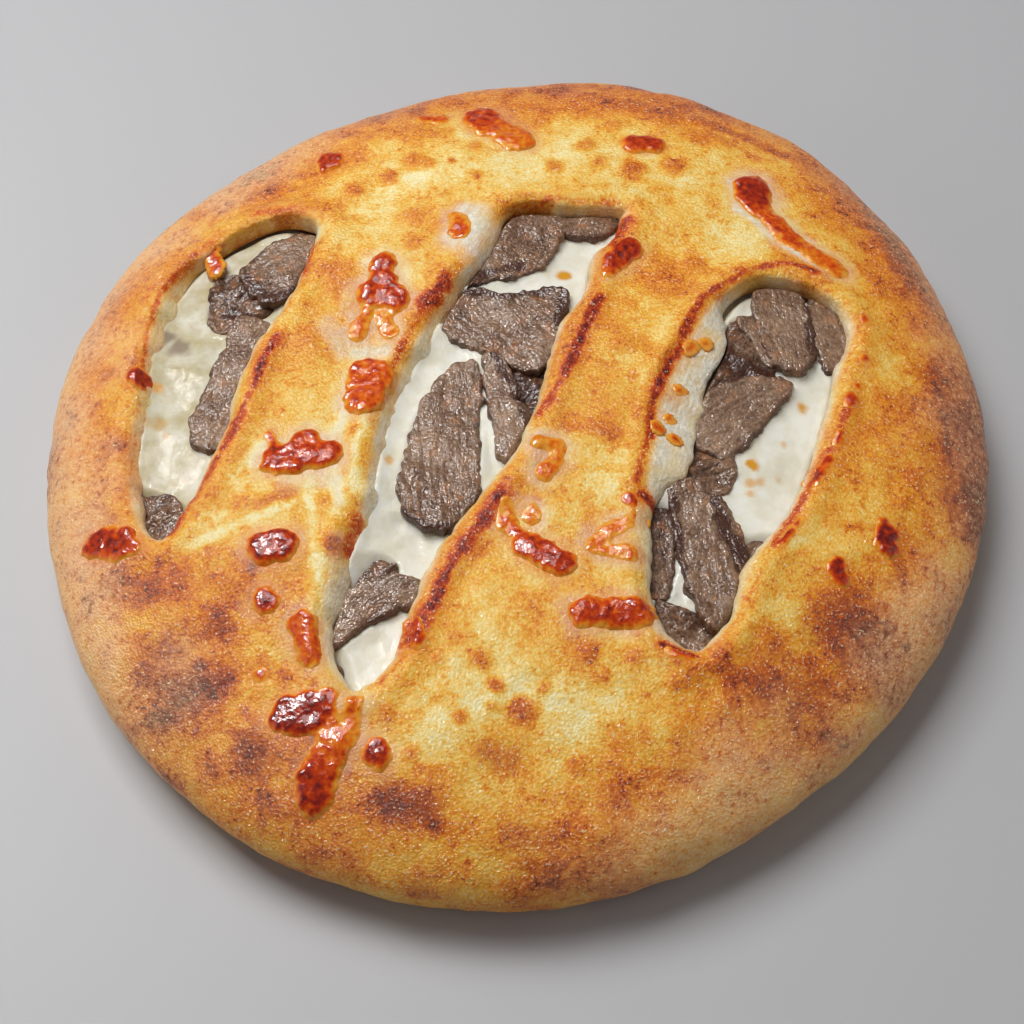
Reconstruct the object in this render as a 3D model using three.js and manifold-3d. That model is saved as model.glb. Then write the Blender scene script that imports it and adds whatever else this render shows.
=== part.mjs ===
// A round stuffed stromboli, whole and freshly baked.
//
// A domed shell of dough has three long slits cut in its crown. The slits open into one
// pocket, which melted cheese fills, and slices of roast beef lie in the cheese. Cheese
// that bubbled out has browned on the crust in drips, bars and beads.
//
// Units are millimetres, +Z is up and +X runs to the right when the slits lean away to
// the right. Plan positions are given from a mark near the middle of the loaf. The flat
// underside rests on Z = 0, and the finished group stands centred over its origin.

import * as THREE from 'three';
import { mergeVertices } from 'three/addons/utils/BufferGeometryUtils.js';
import Module from 'manifold-3d';

const wasm = await Module();
wasm.setup();

// ---------------------------------------------------------------- driving dimensions

// The loaf.
const LOAF_RADIUS = 130; // mean radius, for a loaf about 26 cm across
const LOAF_CENTRE = new THREE.Vector2(0.2, 1.3); // from the mark that places are given from
const LOAF_HEIGHT = 42; // table to crown
const WIDEST_HEIGHT = 15; // height of the loaf's widest line
const BASE_REACH = 0.91; // radius of the flat underside, as a share of the outline's
const DOME_POWER = 2.8; // 2 is an ellipsoid, larger is flatter on top
const LOAF_STEPS = 56; // facets round the outline

// How the hand-shaped outline departs from a circle, as shares of LOAF_RADIUS.
const OUTLINE_WANDER = [
  { lobes: 2, cos: -0.0135, sin: 0.03 },
  { lobes: 3, cos: -0.005, sin: 0.006 },
  { lobes: 4, cos: 0.002, sin: -0.009 },
  { lobes: 5, cos: 0.003, sin: -0.001 },
];

// Slow swells of the crown: height, the direction they run in and the distance they take.
const CROWN_SWELLS = [
  { height: 0.7, towards: 20, length: 95, phase: 0.4 },
  { height: 0.5, towards: 115, length: 70, phase: 2.1 },
  { height: 0.4, towards: 70, length: 48, phase: 4.0 },
];

// The dough wall round the pocket.
const CRUST_OVER_POCKET = 8;
const CRUST_UNDER_POCKET = 7;
const POCKET_REACH = 0.86; // where the pocket ends, as a share of the outline's radius
const POCKET_STEPS = 28;

// The slits. lip is the edge on the crown, point by point, and wall is how far the dough
// slopes in from its left side, between two places along Y where it has run out. On the
// other sides the dough is rounded over.
const SLIT_STEPS = 36;
const WALL_RUN = 24; // length over which a sloping wall fades out at its ends
const SLITS = {
  left: {
    wall: { width: 7, from: -40, to: 66 },
    lip: [
      [-55, 61], [-66, 67], [-84, 58], [-97, 45], [-102, 24], [-103, -2], [-103, -20],
      [-97, -38], [-91, -41], [-84, -31], [-76, -10], [-72, 11], [-63, 31], [-57, 50],
    ],
  },
  middle: {
    wall: { width: 5, from: -80, to: 60 },
    lip: [
      [31, 65], [14, 66], [-2, 65], [-11, 49], [-20, 35], [-29, 16], [-37, -7],
      [-40, -30], [-47, -56], [-48, -76], [-40, -85], [-30, -78], [-25, -62],
      [-15, -40], [-1, -21], [6, -4], [12, 20], [20, 36], [22, 47], [29, 56],
    ],
  },
  right: {
    wall: { width: 11, from: -38, to: 44 },
    lip: [
      [74, 42], [64, 41], [54, 33], [45, 17], [38, 1], [35, -14], [32, -30],
      [31, -46], [32, -62], [37, -72], [44, -75], [53, -66], [60, -49], [70, -36],
      [77, -20], [83, -4], [87, 11], [92, 26], [88, 35],
    ],
  },
};

// The section through a slit's edge, from above the crown down into the pocket: depth
// under the crown, how far in the edge stands on a rounded side, and how far in on the
// sloping side, as a share of the wall's width.
const SLIT_SECTION = [
  { depth: -5, rounded: -3, sloping: -0.35 },
  { depth: -0.8, rounded: -0.8, sloping: -0.05 },
  { depth: 1.5, rounded: 0.6, sloping: 0.2 },
  { depth: 5, rounded: 0.8, sloping: 0.7 },
  { depth: 9.5, rounded: -1.5, sloping: 1.02 },
];

// The raised, browned ridge along each slit: how far out from the lip and how high.
const RIDGE_SECTION = [
  { out: 7, high: -1.5 },
  { out: 3.6, high: 1.1 },
  { out: 0.6, high: 1.6 },
  { out: -1.5, high: -2.5 },
];

// The filling.
const FIT_GAP = 0.3; // clearance between neighbouring pieces
const CHEESE_DEPTH = 6.5; // from the crown down to the cheese in a slit
const CHEESE_LUMP = 0.8;
const CHEESE_LUMP_LENGTH = 17;
const SLICE_FACET = 9.5; // length of the facets round a slice
const CHEESE_STEPS = 32; // facets round the cheese
const SLICE_EDGE = 1.1; // rounding of a slice's rim
const SLICE_REST = 6; // distance over which a slice takes on the crown's slope

// The slices of beef, slit by slit and the uppermost first: depth is from the crown to
// the slice's top, thick is its thickness and rise is how steeply it climbs along X and Y.
const BEEF = {
  left: [
    { depth: 4.6, thick: 4, rise: [0.02, -0.04],
      outline: [[-71, 56], [-64, 61], [-57, 60], [-57, 47], [-63, 37], [-68, 34], [-75, 40], [-78, 48]] },
    { depth: 4.8, thick: 4, rise: [-0.02, 0],
      outline: [[-76, 32], [-68, 29], [-69, 18], [-73, 4], [-76, -8], [-80, -13], [-85, -12],
        [-87, -3], [-84, 8], [-80, 22]] },
    { depth: 6.2, thick: 6, rise: [0, 0],
      outline: [[-84, 48], [-75, 47], [-68, 39], [-69, 33], [-76, 30], [-80, 27], [-85, 30], [-86, 40]] },
    { depth: 7.5, thick: 5, rise: [0, 0], outline: [[-63, 70], [-56, 72], [-54, 60], [-60, 58]] },
    { depth: 6, thick: 7, rise: [0, 0],
      outline: [[-102, -24], [-92, -24], [-86, -30], [-86, -42], [-96, -43], [-101, -34]] },
  ],
  middle: [
    { depth: 5, thick: 4, rise: [0, -0.05],
      outline: [[-5, 73], [7, 75], [13, 62], [11, 53], [6, 45], [-3, 42], [-15, 39], [-17, 45],
        [-10, 54], [-7, 62]] },
    { depth: 4.2, thick: 4, rise: [0.02, 0.02],
      outline: [[-22, 33], [-17, 38], [-2, 36], [8, 38], [14, 37], [12, 26], [6, 10], [-6, 15],
        [-18, 22]] },
    { depth: 2.8, thick: 8, rise: [0.03, 0.02],
      outline: [[-9, 15], [-5, 14], [-1, 4], [3, -10], [1, -18], [-5, -19], [-7, -8], [-9, 2]] },
    { depth: 4.4, thick: 4.2, rise: [-0.03, 0],
      outline: [[-17, 13], [-11, 13], [-10, -2], [-10, -18], [-13, -38], [-23, -39], [-30, -34],
        [-31, -22], [-27, -3], [-22, 8]] },
    { depth: 7, thick: 6, rise: [0, 0], outline: [[-5, 14], [7, 12], [10, 0], [3, -9], [-3, 3]] },
    { depth: 6.6, thick: 5, rise: [0, 0.02],
      outline: [[8, 75], [33, 74], [30, 62], [24, 58], [13, 58]] },
    { depth: 4.6, thick: 4.5, rise: [0.04, 0.05],
      outline: [[-46, -59], [-36, -53], [-23, -54], [-25, -59], [-34, -63], [-46, -71], [-50, -66]] },
    { depth: 6.2, thick: 5, rise: [0, 0],
      outline: [[-41, -52], [-36, -46], [-31, -48], [-33, -56], [-44, -59]] },
    { depth: 7.5, thick: 5, rise: [0, 0],
      outline: [[-51, -72], [-46, -73], [-43, -81], [-45, -87], [-52, -83]] },
  ],
  right: [
    { depth: 3.8, thick: 4.5, rise: [0, -0.04],
      outline: [[69, 48], [76, 45], [80, 33], [80, 17], [75, 11], [69, 13], [65, 26], [65, 38]] },
    { depth: 4.8, thick: 4.5, rise: [0, 0],
      outline: [[81, 39], [91, 39], [95, 31], [91, 20], [84, 13], [80, 25]] },
    { depth: 4.2, thick: 4, rise: [-0.03, 0.04],
      outline: [[44, -9], [48, 2], [56, 8], [66, 10], [73, 8], [68, -2], [60, -11], [54, -16]] },
    { depth: 3.6, thick: 6, rise: [0.02, 0],
      outline: [[39, -26], [47, -25], [51, -37], [57, -53], [56, -63], [49, -67], [43, -58],
        [40, -43]] },
    { depth: 4.2, thick: 6, rise: [0, 0], outline: [[60, 30], [64, 30], [71, 17], [68, 13], [64, 20]] },
    { depth: 5.4, thick: 6, rise: [0, 0],
      outline: [[54, 26], [62, 29], [67, 18], [69, 10], [57, 7], [48, 3], [50, 16]] },
    { depth: 5.8, thick: 6, rise: [0, 0],
      outline: [[43, -15], [49, -10], [57, -15], [54, -26], [45, -25]] },
    { depth: 5, thick: 6, rise: [0, 0],
      outline: [[48, -27], [52, -28], [58, -43], [58, -52], [53, -46]] },
    { depth: 6, thick: 6, rise: [0, 0],
      outline: [[34, -33], [39, -33], [40, -47], [37, -58], [32, -56], [31, -44]] },
    { depth: 6.8, thick: 5, rise: [0, 0], outline: [[55, -43], [64, -40], [63, -53], [57, -57]] },
    { depth: 6, thick: 5, rise: [0, 0],
      outline: [[34, -58], [41, -60], [49, -66], [46, -73], [38, -71]] },
  ],
};

// Browned cheese on the crust. Each drip runs from one place to another and has a width.
const DRIP_HEIGHT = 1.7; // of a drip as wide as DRIP_FULL_WIDTH or wider
const DRIP_FULL_WIDTH = 8;
const DRIP_STEPS = 8;
const DRIPS = [
  { from: [-54, 88], to: [-54, 88.5], wide: 9 },
  { from: [-27, 107], to: [-23, 107], wide: 5 },
  { from: [-13, 105], to: [0, 95], wide: 11 },
  { from: [40, 92], to: [45, 93], wide: 8.5 },
  { from: [67, 77], to: [67.5, 70], wide: 9.5 },
  { from: [69, 66], to: [77, 56], wide: 6.5 },
  { from: [77, 56], to: [89, 46], wide: 6 },
  { from: [-16.6, 59.5], to: [-16.6, 55], wide: 6 },
  { from: [-37, 43], to: [-37, 36], wide: 8 },
  { from: [-40, 33], to: [-34, 32], wide: 9 },
  { from: [-41, 28], to: [-43, 21], wide: 5 },
  { from: [-39, 8], to: [-41, 1], wide: 12 },
  { from: [-62, -20], to: [-50, -18], wide: 10 },
  { from: [-62, -18], to: [-64, -13], wide: 4 },
  { from: [-64, -46], to: [-60, -46], wide: 8 },
  { from: [-63.5, -60], to: [-63, -60], wide: 7 },
  { from: [-108.5, -39], to: [-102, -40], wide: 9 },
  { from: [-54, -67], to: [-51, -73], wide: 7 },
  { from: [-55, -90], to: [-50, -90], wide: 10 },
  { from: [-40, -89], to: [-42, -98], wide: 6 },
  { from: [-42, -98], to: [-48, -109], wide: 9 },
  { from: [-35, -100], to: [-34.5, -100.5], wide: 6.5 },
  { from: [5.5, -17], to: [10, -19], wide: 5 },
  { from: [10, -20], to: [7.5, -24], wide: 6 },
  { from: [-3, -38], to: [2, -45], wide: 5 },
  { from: [2, -46], to: [10, -51], wide: 9 },
  { from: [19, -46], to: [30, -40], wide: 4.5 },
  { from: [20, -47], to: [29, -49.5], wide: 5 },
  { from: [16, -65], to: [30, -65.5], wide: 8.5 },
  { from: [94.6, -41], to: [94.6, -37.5], wide: 7 },
  { from: [80.6, -49.5], to: [80.6, -51.5], wide: 5 },
  { from: [26, 43], to: [30, 50], wide: 8 },
];

// ------------------------------------------------------------------------ materials

const browned = new THREE.MeshStandardMaterial({ color: 0xc98a45, roughness: 0.5, metalness: 0 });
const melted = new THREE.MeshStandardMaterial({ color: 0xe0dec6, roughness: 0.3, metalness: 0 });
const roasted = new THREE.MeshStandardMaterial({ color: 0x7a6152, roughness: 0.55, metalness: 0 });

// ------------------------------------------------------------------- the loaf's form

/** Radius of the outline in a direction from the middle of the loaf. */
function outlineRadius(angle) {
  const wander = OUTLINE_WANDER.reduce(
    (sum, { lobes, cos, sin }) => sum + cos * Math.cos(lobes * angle) + sin * Math.sin(lobes * angle),
    0,
  );
  return LOAF_RADIUS * (1 + wander);
}

/** Height of a smooth dome over the loaf: a share of the way out gives the height. */
function domeHeight(reach) {
  const fall = Math.min(1, reach) ** DOME_POWER;
  return WIDEST_HEIGHT + (LOAF_HEIGHT - WIDEST_HEIGHT) * Math.sqrt(1 - fall);
}

/** Height of the crown over a place in plan, swells included. */
function crownHeight(x, y) {
  const place = new THREE.Vector2(x, y).sub(LOAF_CENTRE);
  const reach = place.length() / outlineRadius(place.angle());
  const fade = Math.max(0, 1 - reach ** 4);
  const swell = CROWN_SWELLS.reduce((sum, { height, towards, length, phase }) => {
    const angle = THREE.MathUtils.degToRad(towards);
    const along = x * Math.cos(angle) + y * Math.sin(angle);
    return sum + height * Math.sin((2 * Math.PI * along) / length + phase);
  }, 0);
  return domeHeight(reach) + swell * fade;
}

// -------------------------------------------------------------------- shape helpers

/** A solid from a closed geometry whose faces point outwards. */
function solidFrom(geometry) {
  geometry.deleteAttribute('normal');
  geometry.deleteAttribute('uv');
  const merged = mergeVertices(geometry, 1e-4);
  const index = merged.index.array;
  const corners = [];
  for (let i = 0; i < index.length; i += 3) {
    const [a, b, c] = index.subarray(i, i + 3);
    if (a !== b && b !== c && c !== a) corners.push(a, b, c);
  }
  return new wasm.Manifold(new wasm.Mesh({
    numProp: 3,
    vertProperties: Float32Array.from(merged.attributes.position.array),
    triVerts: Uint32Array.from(corners),
  }));
}

/** A mesh of the largest piece of a solid, so that no scrap of a cut stays loose. */
function meshOf(solid, name, material) {
  const pieces = solid.decompose().sort((a, b) => b.volume() - a.volume());
  const { vertProperties, triVerts, numProp } = pieces[0].getMesh();
  const geometry = new THREE.BufferGeometry();
  geometry.setAttribute('position', new THREE.BufferAttribute(Float32Array.from(vertProperties), numProp));
  geometry.setIndex(new THREE.BufferAttribute(Uint32Array.from(triVerts), 1));
  const mesh = new THREE.Mesh(geometry, material);
  mesh.name = name;
  return mesh;
}

/** A smooth closed outline through a few points, in even steps and anticlockwise. */
function smoothOutline(points, stepsFor) {
  const curve = new THREE.CatmullRomCurve3(points.map(([x, y]) => new THREE.Vector3(x, y, 0)), true);
  const steps = stepsFor(curve.getLength());
  const ring = curve.getSpacedPoints(steps).slice(0, steps).map(({ x, y }) => new THREE.Vector2(x, y));
  return THREE.ShapeUtils.isClockWise(ring) ? ring.reverse() : ring;
}

/** The direction out of an anticlockwise outline at each of its points. */
function outwardNormals(ring) {
  return ring.map((_, i) => {
    const before = ring.at(i - 1);
    const after = ring[(i + 1) % ring.length];
    return new THREE.Vector2(after.y - before.y, before.x - after.x).normalize();
  });
}

/** An outline moved outwards by a distance that may differ from point to point. */
function movedOut(ring, distance) {
  const normals = outwardNormals(ring);
  return ring.map((point, i) => point.clone().addScaledVector(normals[i], distance(normals[i], point)));
}

/** A ring in space over an outline, at a height that a function of the place gives. */
function raised(outline, height) {
  return outline.map(({ x, y }) => new THREE.Vector3(x, y, height(x, y)));
}

/** A closed skin over a stack of like rings. Open ends are capped, or the last meets the first. */
function skinOver(rings, { endless = false } = {}) {
  const around = rings[0].length;
  const index = [];
  const bands = endless ? rings.length : rings.length - 1;
  for (let level = 0; level < bands; level += 1) {
    const low = level * around;
    const high = ((level + 1) % rings.length) * around;
    for (let i = 0; i < around; i += 1) {
      const j = (i + 1) % around;
      index.push(low + i, low + j, high + j, low + i, high + j, high + i);
    }
  }
  if (!endless) {
    const cap = (ring, start, flip) => {
      for (const [a, b, c] of THREE.ShapeUtils.triangulateShape(ring, [])) {
        index.push(start + a, start + (flip ? c : b), start + (flip ? b : c));
      }
    };
    cap(rings[0], 0, true);
    cap(rings.at(-1), (rings.length - 1) * around, false);
  }
  const geometry = new THREE.BufferGeometry().setFromPoints(rings.flat());
  geometry.setIndex(index);
  return geometry;
}

/** A lathed body whose profile gives shares of the outline's radius, fitted to the loaf. */
function lathedOnOutline(profile, steps, shrink, heightAt) {
  const geometry = new THREE.LatheGeometry(profile, steps);
  geometry.rotateX(Math.PI / 2);
  const place = geometry.attributes.position;
  for (let i = 0; i < place.count; i += 1) {
    const reach = Math.hypot(place.getX(i), place.getY(i));
    const angle = Math.atan2(place.getY(i), place.getX(i));
    const radius = reach < 1e-6 ? 0 : reach * outlineRadius(angle) - shrink;
    const x = LOAF_CENTRE.x + radius * Math.cos(angle);
    const y = LOAF_CENTRE.y + radius * Math.sin(angle);
    place.setXYZ(i, x, y, heightAt(x, y, place.getZ(i)));
  }
  return solidFrom(geometry);
}

// ------------------------------------------------------------------------ the bread

// Profiles mark every height on the crown with this level, which the fitting replaces.
const ON_CROWN = LOAF_HEIGHT;
const CROWN_REACHES = [0.994, 0.97, 0.93, 0.87, 0.79, 0.7, 0.6, 0.49, 0.38, 0.27, 0.14, 0];

/** The loaf without its slits and pocket. */
function wholeLoaf() {
  const side = [0, 0.3, 0.65, 1].map((turn) => {
    const angle = (turn * Math.PI) / 2;
    return new THREE.Vector2(
      BASE_REACH + (1 - BASE_REACH) * Math.sin(angle),
      WIDEST_HEIGHT * (1 - Math.cos(angle)),
    );
  });
  const crown = CROWN_REACHES.map((reach) => new THREE.Vector2(reach, ON_CROWN));
  const profile = [new THREE.Vector2(0, 0), ...side, ...crown];
  return lathedOnOutline(profile, LOAF_STEPS, 0, (x, y, z) => (z < ON_CROWN ? z : crownHeight(x, y)));
}

/** The pocket for the filling, drawn in by a gap on every side where one is given. */
function pocket(gap) {
  const floor = CRUST_UNDER_POCKET + gap;
  const profile = [
    new THREE.Vector2(0, floor),
    new THREE.Vector2(POCKET_REACH - 0.07, floor),
    new THREE.Vector2(POCKET_REACH - 0.015, floor + 3),
    new THREE.Vector2(POCKET_REACH, WIDEST_HEIGHT),
    ...[0.81, 0.7, 0.55, 0.38, 0.2, 0].map((reach) => new THREE.Vector2(reach, ON_CROWN)),
  ];
  const ceiling = (x, y) => crownHeight(x, y) - CRUST_OVER_POCKET - gap;
  return lathedOnOutline(profile, POCKET_STEPS, gap, (x, y, z) => (z < ON_CROWN ? z : ceiling(x, y)));
}

/** How fully a place on a slit's edge, with this outward normal, is its sloping side. */
function slopingShare({ from, to }, normal, y) {
  const { smoothstep } = THREE.MathUtils;
  const runIn = smoothstep(y, from, from + WALL_RUN) * (1 - smoothstep(y, to - WALL_RUN, to));
  return smoothstep(-normal.x, 0.1, 0.85) * runIn;
}

/** The space of one slit, drawn in by a gap where one is given. */
function slitSpace({ lip, wall }, gap) {
  const edge = smoothOutline(lip, () => SLIT_STEPS);
  const rings = SLIT_SECTION.toReversed().map(({ depth, rounded, sloping }) => {
    const outline = movedOut(edge, (normal, { y }) => (
      -THREE.MathUtils.lerp(rounded, sloping * wall.width, slopingShare(wall, normal, y)) - gap
    ));
    return raised(outline, (x, y) => crownHeight(x, y) - depth);
  });
  return solidFrom(skinOver(rings));
}

/** The raised ridge of dough that runs round a slit. */
function slitRidge({ lip }) {
  const edge = smoothOutline(lip, () => SLIT_STEPS);
  const rings = RIDGE_SECTION.map(({ out, high }) => (
    raised(movedOut(edge, () => out), (x, y) => crownHeight(x, y) + high)
  ));
  return solidFrom(skinOver(rings, { endless: true }));
}

/** A low rounded drip of browned cheese, sunk a little into the crust. */
function drip({ from, to, wide }) {
  const start = new THREE.Vector2(...from);
  const run = new THREE.Vector2(...to).sub(start);
  const facing = run.angle();
  const outline = [];
  for (let i = 0; i < DRIP_STEPS; i += 1) {
    const turn = ((i + 0.5) / DRIP_STEPS) * 2 * Math.PI;
    const end = Math.cos(turn) > 0 ? 1 : 0;
    outline.push(new THREE.Vector2(
      start.x + run.x * end + (wide / 2) * Math.cos(turn + facing),
      start.y + run.y * end + (wide / 2) * Math.sin(turn + facing),
    ));
  }
  const height = DRIP_HEIGHT * Math.min(1, wide / DRIP_FULL_WIDTH);
  const levels = [
    { inset: 0, high: -1 },
    { inset: 0, high: 0.35 * height },
    { inset: 0.28 * wide, high: height },
  ];
  return solidFrom(skinOver(levels.map(({ inset, high }) => (
    raised(movedOut(outline, () => -inset), (x, y) => crownHeight(x, y) + high)
  ))));
}

// ---------------------------------------------------------------------- the filling

/** A solid of melted cheese, larger than the pocket, whose uneven top shows in the slits. */
function cheeseBulk() {
  const reaches = [0.9, 0.8, 0.7, 0.6, 0.5, 0.4, 0.3, 0.2, 0.1, 0];
  const profile = [
    new THREE.Vector2(0, 0),
    new THREE.Vector2(reaches[0], 0),
    ...reaches.map((reach) => new THREE.Vector2(reach, ON_CROWN)),
  ];
  const turn = (2 * Math.PI) / CHEESE_LUMP_LENGTH;
  const surface = (x, y) => (
    crownHeight(x, y) - CHEESE_DEPTH + CHEESE_LUMP * Math.sin(turn * x + 1) * Math.cos(0.7 * turn * y)
  );
  return lathedOnOutline(profile, CHEESE_STEPS, 0, (x, y, z) => (z < ON_CROWN ? z : surface(x, y)));
}

/** One flat slice of beef with a bevelled rim, grown on every side by a margin. */
function beefSlice({ outline, depth, thick, rise }, grow) {
  const edge = smoothOutline(outline, (length) => Math.max(7, Math.round(length / SLICE_FACET)));
  const middle = edge.reduce((sum, point) => sum.add(point), new THREE.Vector2()).divideScalar(edge.length);
  const level = crownHeight(middle.x, middle.y) - depth;
  const climbX = rise[0] + (crownHeight(middle.x + SLICE_REST, middle.y) - level - depth) / SLICE_REST;
  const climbY = rise[1] + (crownHeight(middle.x, middle.y + SLICE_REST) - level - depth) / SLICE_REST;
  const ring = (inset, lift) => raised(
    movedOut(edge, () => grow - inset),
    (x, y) => level + climbX * (x - middle.x) + climbY * (y - middle.y) + lift,
  );
  return solidFrom(skinOver([
    ring(SLICE_EDGE, -thick - grow),
    ring(0, -SLICE_EDGE + grow),
    ring(SLICE_EDGE, grow),
  ]));
}

// ------------------------------------------------------------------ put it together

const slits = Object.values(SLITS);

let bread = wholeLoaf();
for (const spec of DRIPS) bread = bread.add(drip(spec));
for (const spec of slits) bread = bread.add(slitRidge(spec));
for (const spec of slits) bread = bread.subtract(slitSpace(spec, 0));
bread = bread.subtract(pocket(0));

// The room that the filling may take up, clear of the bread.
const room = slits.reduce((space, spec) => space.add(slitSpace(spec, FIT_GAP)), pocket(FIT_GAP));

let cheese = cheeseBulk().intersect(room);
const slices = [];
for (const [slit, specs] of Object.entries(BEEF)) {
  let taken = null;
  specs.forEach((spec, i) => {
    let slice = beefSlice(spec, 0).intersect(room);
    if (taken) slice = slice.subtract(taken);
    slices.push(meshOf(slice, `beef_${slit}_${i + 1}`, roasted));
    const berth = beefSlice(spec, FIT_GAP);
    taken = taken ? taken.add(berth) : berth;
  });
  cheese = cheese.subtract(taken);
}

const stromboli = new THREE.Group();
stromboli.add(meshOf(bread, 'bread', browned), meshOf(cheese, 'cheese', melted), ...slices);

const box = new THREE.Box3().setFromObject(stromboli);
const centre = box.getCenter(new THREE.Vector3());
stromboli.position.set(-centre.x, -centre.y, -box.min.z);

export default stromboli;
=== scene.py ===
"""A whole stuffed stromboli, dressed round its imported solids.

The loaf is worked out in millimetres on its own plan: +X to the right, +Y away from the
viewer and +Z up, from a mark near the middle of the loaf. Each finished mesh is then
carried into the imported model's frame, which is in metres.
"""

import logging
import math
from collections.abc import Callable
from dataclasses import dataclass, field
from enum import Enum
from typing import Protocol

import bpy
import numpy as np
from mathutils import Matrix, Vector
from mathutils.geometry import delaunay_2d_cdt


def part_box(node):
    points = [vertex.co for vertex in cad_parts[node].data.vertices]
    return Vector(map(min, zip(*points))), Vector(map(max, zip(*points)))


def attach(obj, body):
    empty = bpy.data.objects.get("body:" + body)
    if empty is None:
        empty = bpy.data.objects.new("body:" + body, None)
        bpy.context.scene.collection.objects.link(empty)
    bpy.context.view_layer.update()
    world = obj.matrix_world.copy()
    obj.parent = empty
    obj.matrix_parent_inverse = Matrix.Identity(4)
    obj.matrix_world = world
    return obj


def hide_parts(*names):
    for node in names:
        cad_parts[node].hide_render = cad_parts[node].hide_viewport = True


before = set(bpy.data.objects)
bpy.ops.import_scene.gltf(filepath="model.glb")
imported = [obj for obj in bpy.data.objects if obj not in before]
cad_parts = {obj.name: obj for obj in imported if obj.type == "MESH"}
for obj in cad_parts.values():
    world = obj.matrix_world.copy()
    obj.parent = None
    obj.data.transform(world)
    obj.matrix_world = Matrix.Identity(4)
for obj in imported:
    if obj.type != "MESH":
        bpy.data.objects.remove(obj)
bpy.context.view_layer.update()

Array = np.ndarray
Point = tuple[float, float]
Stops = tuple[tuple[float, str], ...]
Piece = bpy.types.Object
Material = bpy.types.Material
Socket = bpy.types.NodeSocket
Input = Socket | float | tuple[float, ...]

LOG = logging.getLogger("stromboli")
METRES_PER_MM = 0.001
BODY = "root"
# Farther than anything on the loaf, in millimetres.
FAR = 1e9
# How many places nearest_on takes at once, which keeps its tables small.
PLACES_AT_ONCE = 20000


# ---- small mathematics ----


def smoothstep(low: float, high: float, value: Array) -> Array:
    """A soft step from 0 at low to 1 at high.

    Args:
        low: Where the step starts.
        high: Where it ends.
        value: Where it is asked for.

    Returns:
        Values from 0 to 1.
    """
    share = np.clip((value - low) / (high - low), 0.0, 1.0)
    return share * share * (3.0 - 2.0 * share)


def bell(value: Array, middle: float, width: float) -> Array:
    """A bell curve of height 1 about middle, with the given half-width."""
    return np.exp(-(((value - middle) / width) ** 2))


def mix(first: Array | float, second: Array | float, share: Array | float) -> Array:
    """The value between first and second at a share of the way."""
    return first + (second - first) * share


def linear(code: str, alpha: float = 1.0) -> tuple[float, float, float, float]:
    """Turns an sRGB hex colour into the linear colour that a shader takes.

    Args:
        code: The colour, such as "#C98A45".
        alpha: Its opacity.

    Returns:
        Linear red, green, blue and alpha.
    """
    channels = [int(code[i : i + 2], 16) / 255 for i in (1, 3, 5)]
    curve = [c / 12.92 if c <= 0.04045 else ((c + 0.055) / 1.055) ** 2.4 for c in channels]
    return (*curve, alpha)


class Unevenness:
    """Smooth seeded noise between about -1 and 1, the same on every run."""

    CELLS = 32
    ORIGIN = 0.37  # where in the lattice the plan's nought falls, as a share of it
    SWING = 1.6  # what brings the blended values back to about -1 and 1

    def __init__(self, seed: int) -> None:
        """Fills the lattice of random values.

        Args:
            seed: Which of the endless patterns to take.
        """
        self.lattice = np.random.default_rng(seed).uniform(-1.0, 1.0, (self.CELLS,) * 3)

    def at(self, points: Array, size: float | Point | tuple[float, float, float]) -> Array:
        """The noise at some points.

        Args:
            points: Places in millimetres, two or three columns.
            size: Length of the pattern's cells in millimetres, one for all or one a column.

        Returns:
            One value for each point.
        """
        scaled = np.zeros((len(points), 3))
        scaled[:, : points.shape[1]] = points / np.asarray(size)
        scaled += self.ORIGIN * self.CELLS
        low = np.floor(scaled).astype(int)
        part = scaled - low
        part = part * part * (3.0 - 2.0 * part)
        total = np.zeros(len(points))
        for corner in np.ndindex(2, 2, 2):
            weight = np.prod(np.where(corner, part, 1.0 - part), axis=1)
            index = (low + corner) % self.CELLS
            total += weight * self.lattice[index[:, 0], index[:, 1], index[:, 2]]
        return total * self.SWING


def smooth_outline(points: tuple[Point, ...], step: float) -> Array:
    """A smooth closed outline through a few points, anticlockwise and in even steps.

    Args:
        points: The points in order round the outline.
        step: Wanted distance between neighbours, in millimetres.

    Returns:
        The outline's points, one a row.
    """
    at = np.asarray(points, float)
    before, after, beyond = np.roll(at, 1, 0), np.roll(at, -1, 0), np.roll(at, -2, 0)
    gap_before = np.linalg.norm(at - before, axis=1)[:, None] ** 0.5
    gap = np.linalg.norm(after - at, axis=1)[:, None] ** 0.5
    gap_after = np.linalg.norm(beyond - after, axis=1)[:, None] ** 0.5
    leave = (at - before) / gap_before - (after - before) / (gap_before + gap) + (after - at) / gap
    arrive = (after - at) / gap - (beyond - at) / (gap + gap_after) + (beyond - after) / gap_after
    leave, arrive = leave * gap, arrive * gap
    steps_a_span = 48
    share = np.linspace(0.0, 1.0, steps_a_span, endpoint=False)[None, :, None]
    square, cube = share**2, share**3
    curve = (
        at[:, None] + leave[:, None] * share
        + (-3 * at + 3 * after - 2 * leave - arrive)[:, None] * square
        + (2 * at - 2 * after + leave + arrive)[:, None] * cube
    ).reshape(-1, 2)
    return evenly_spaced(curve, step)


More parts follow.
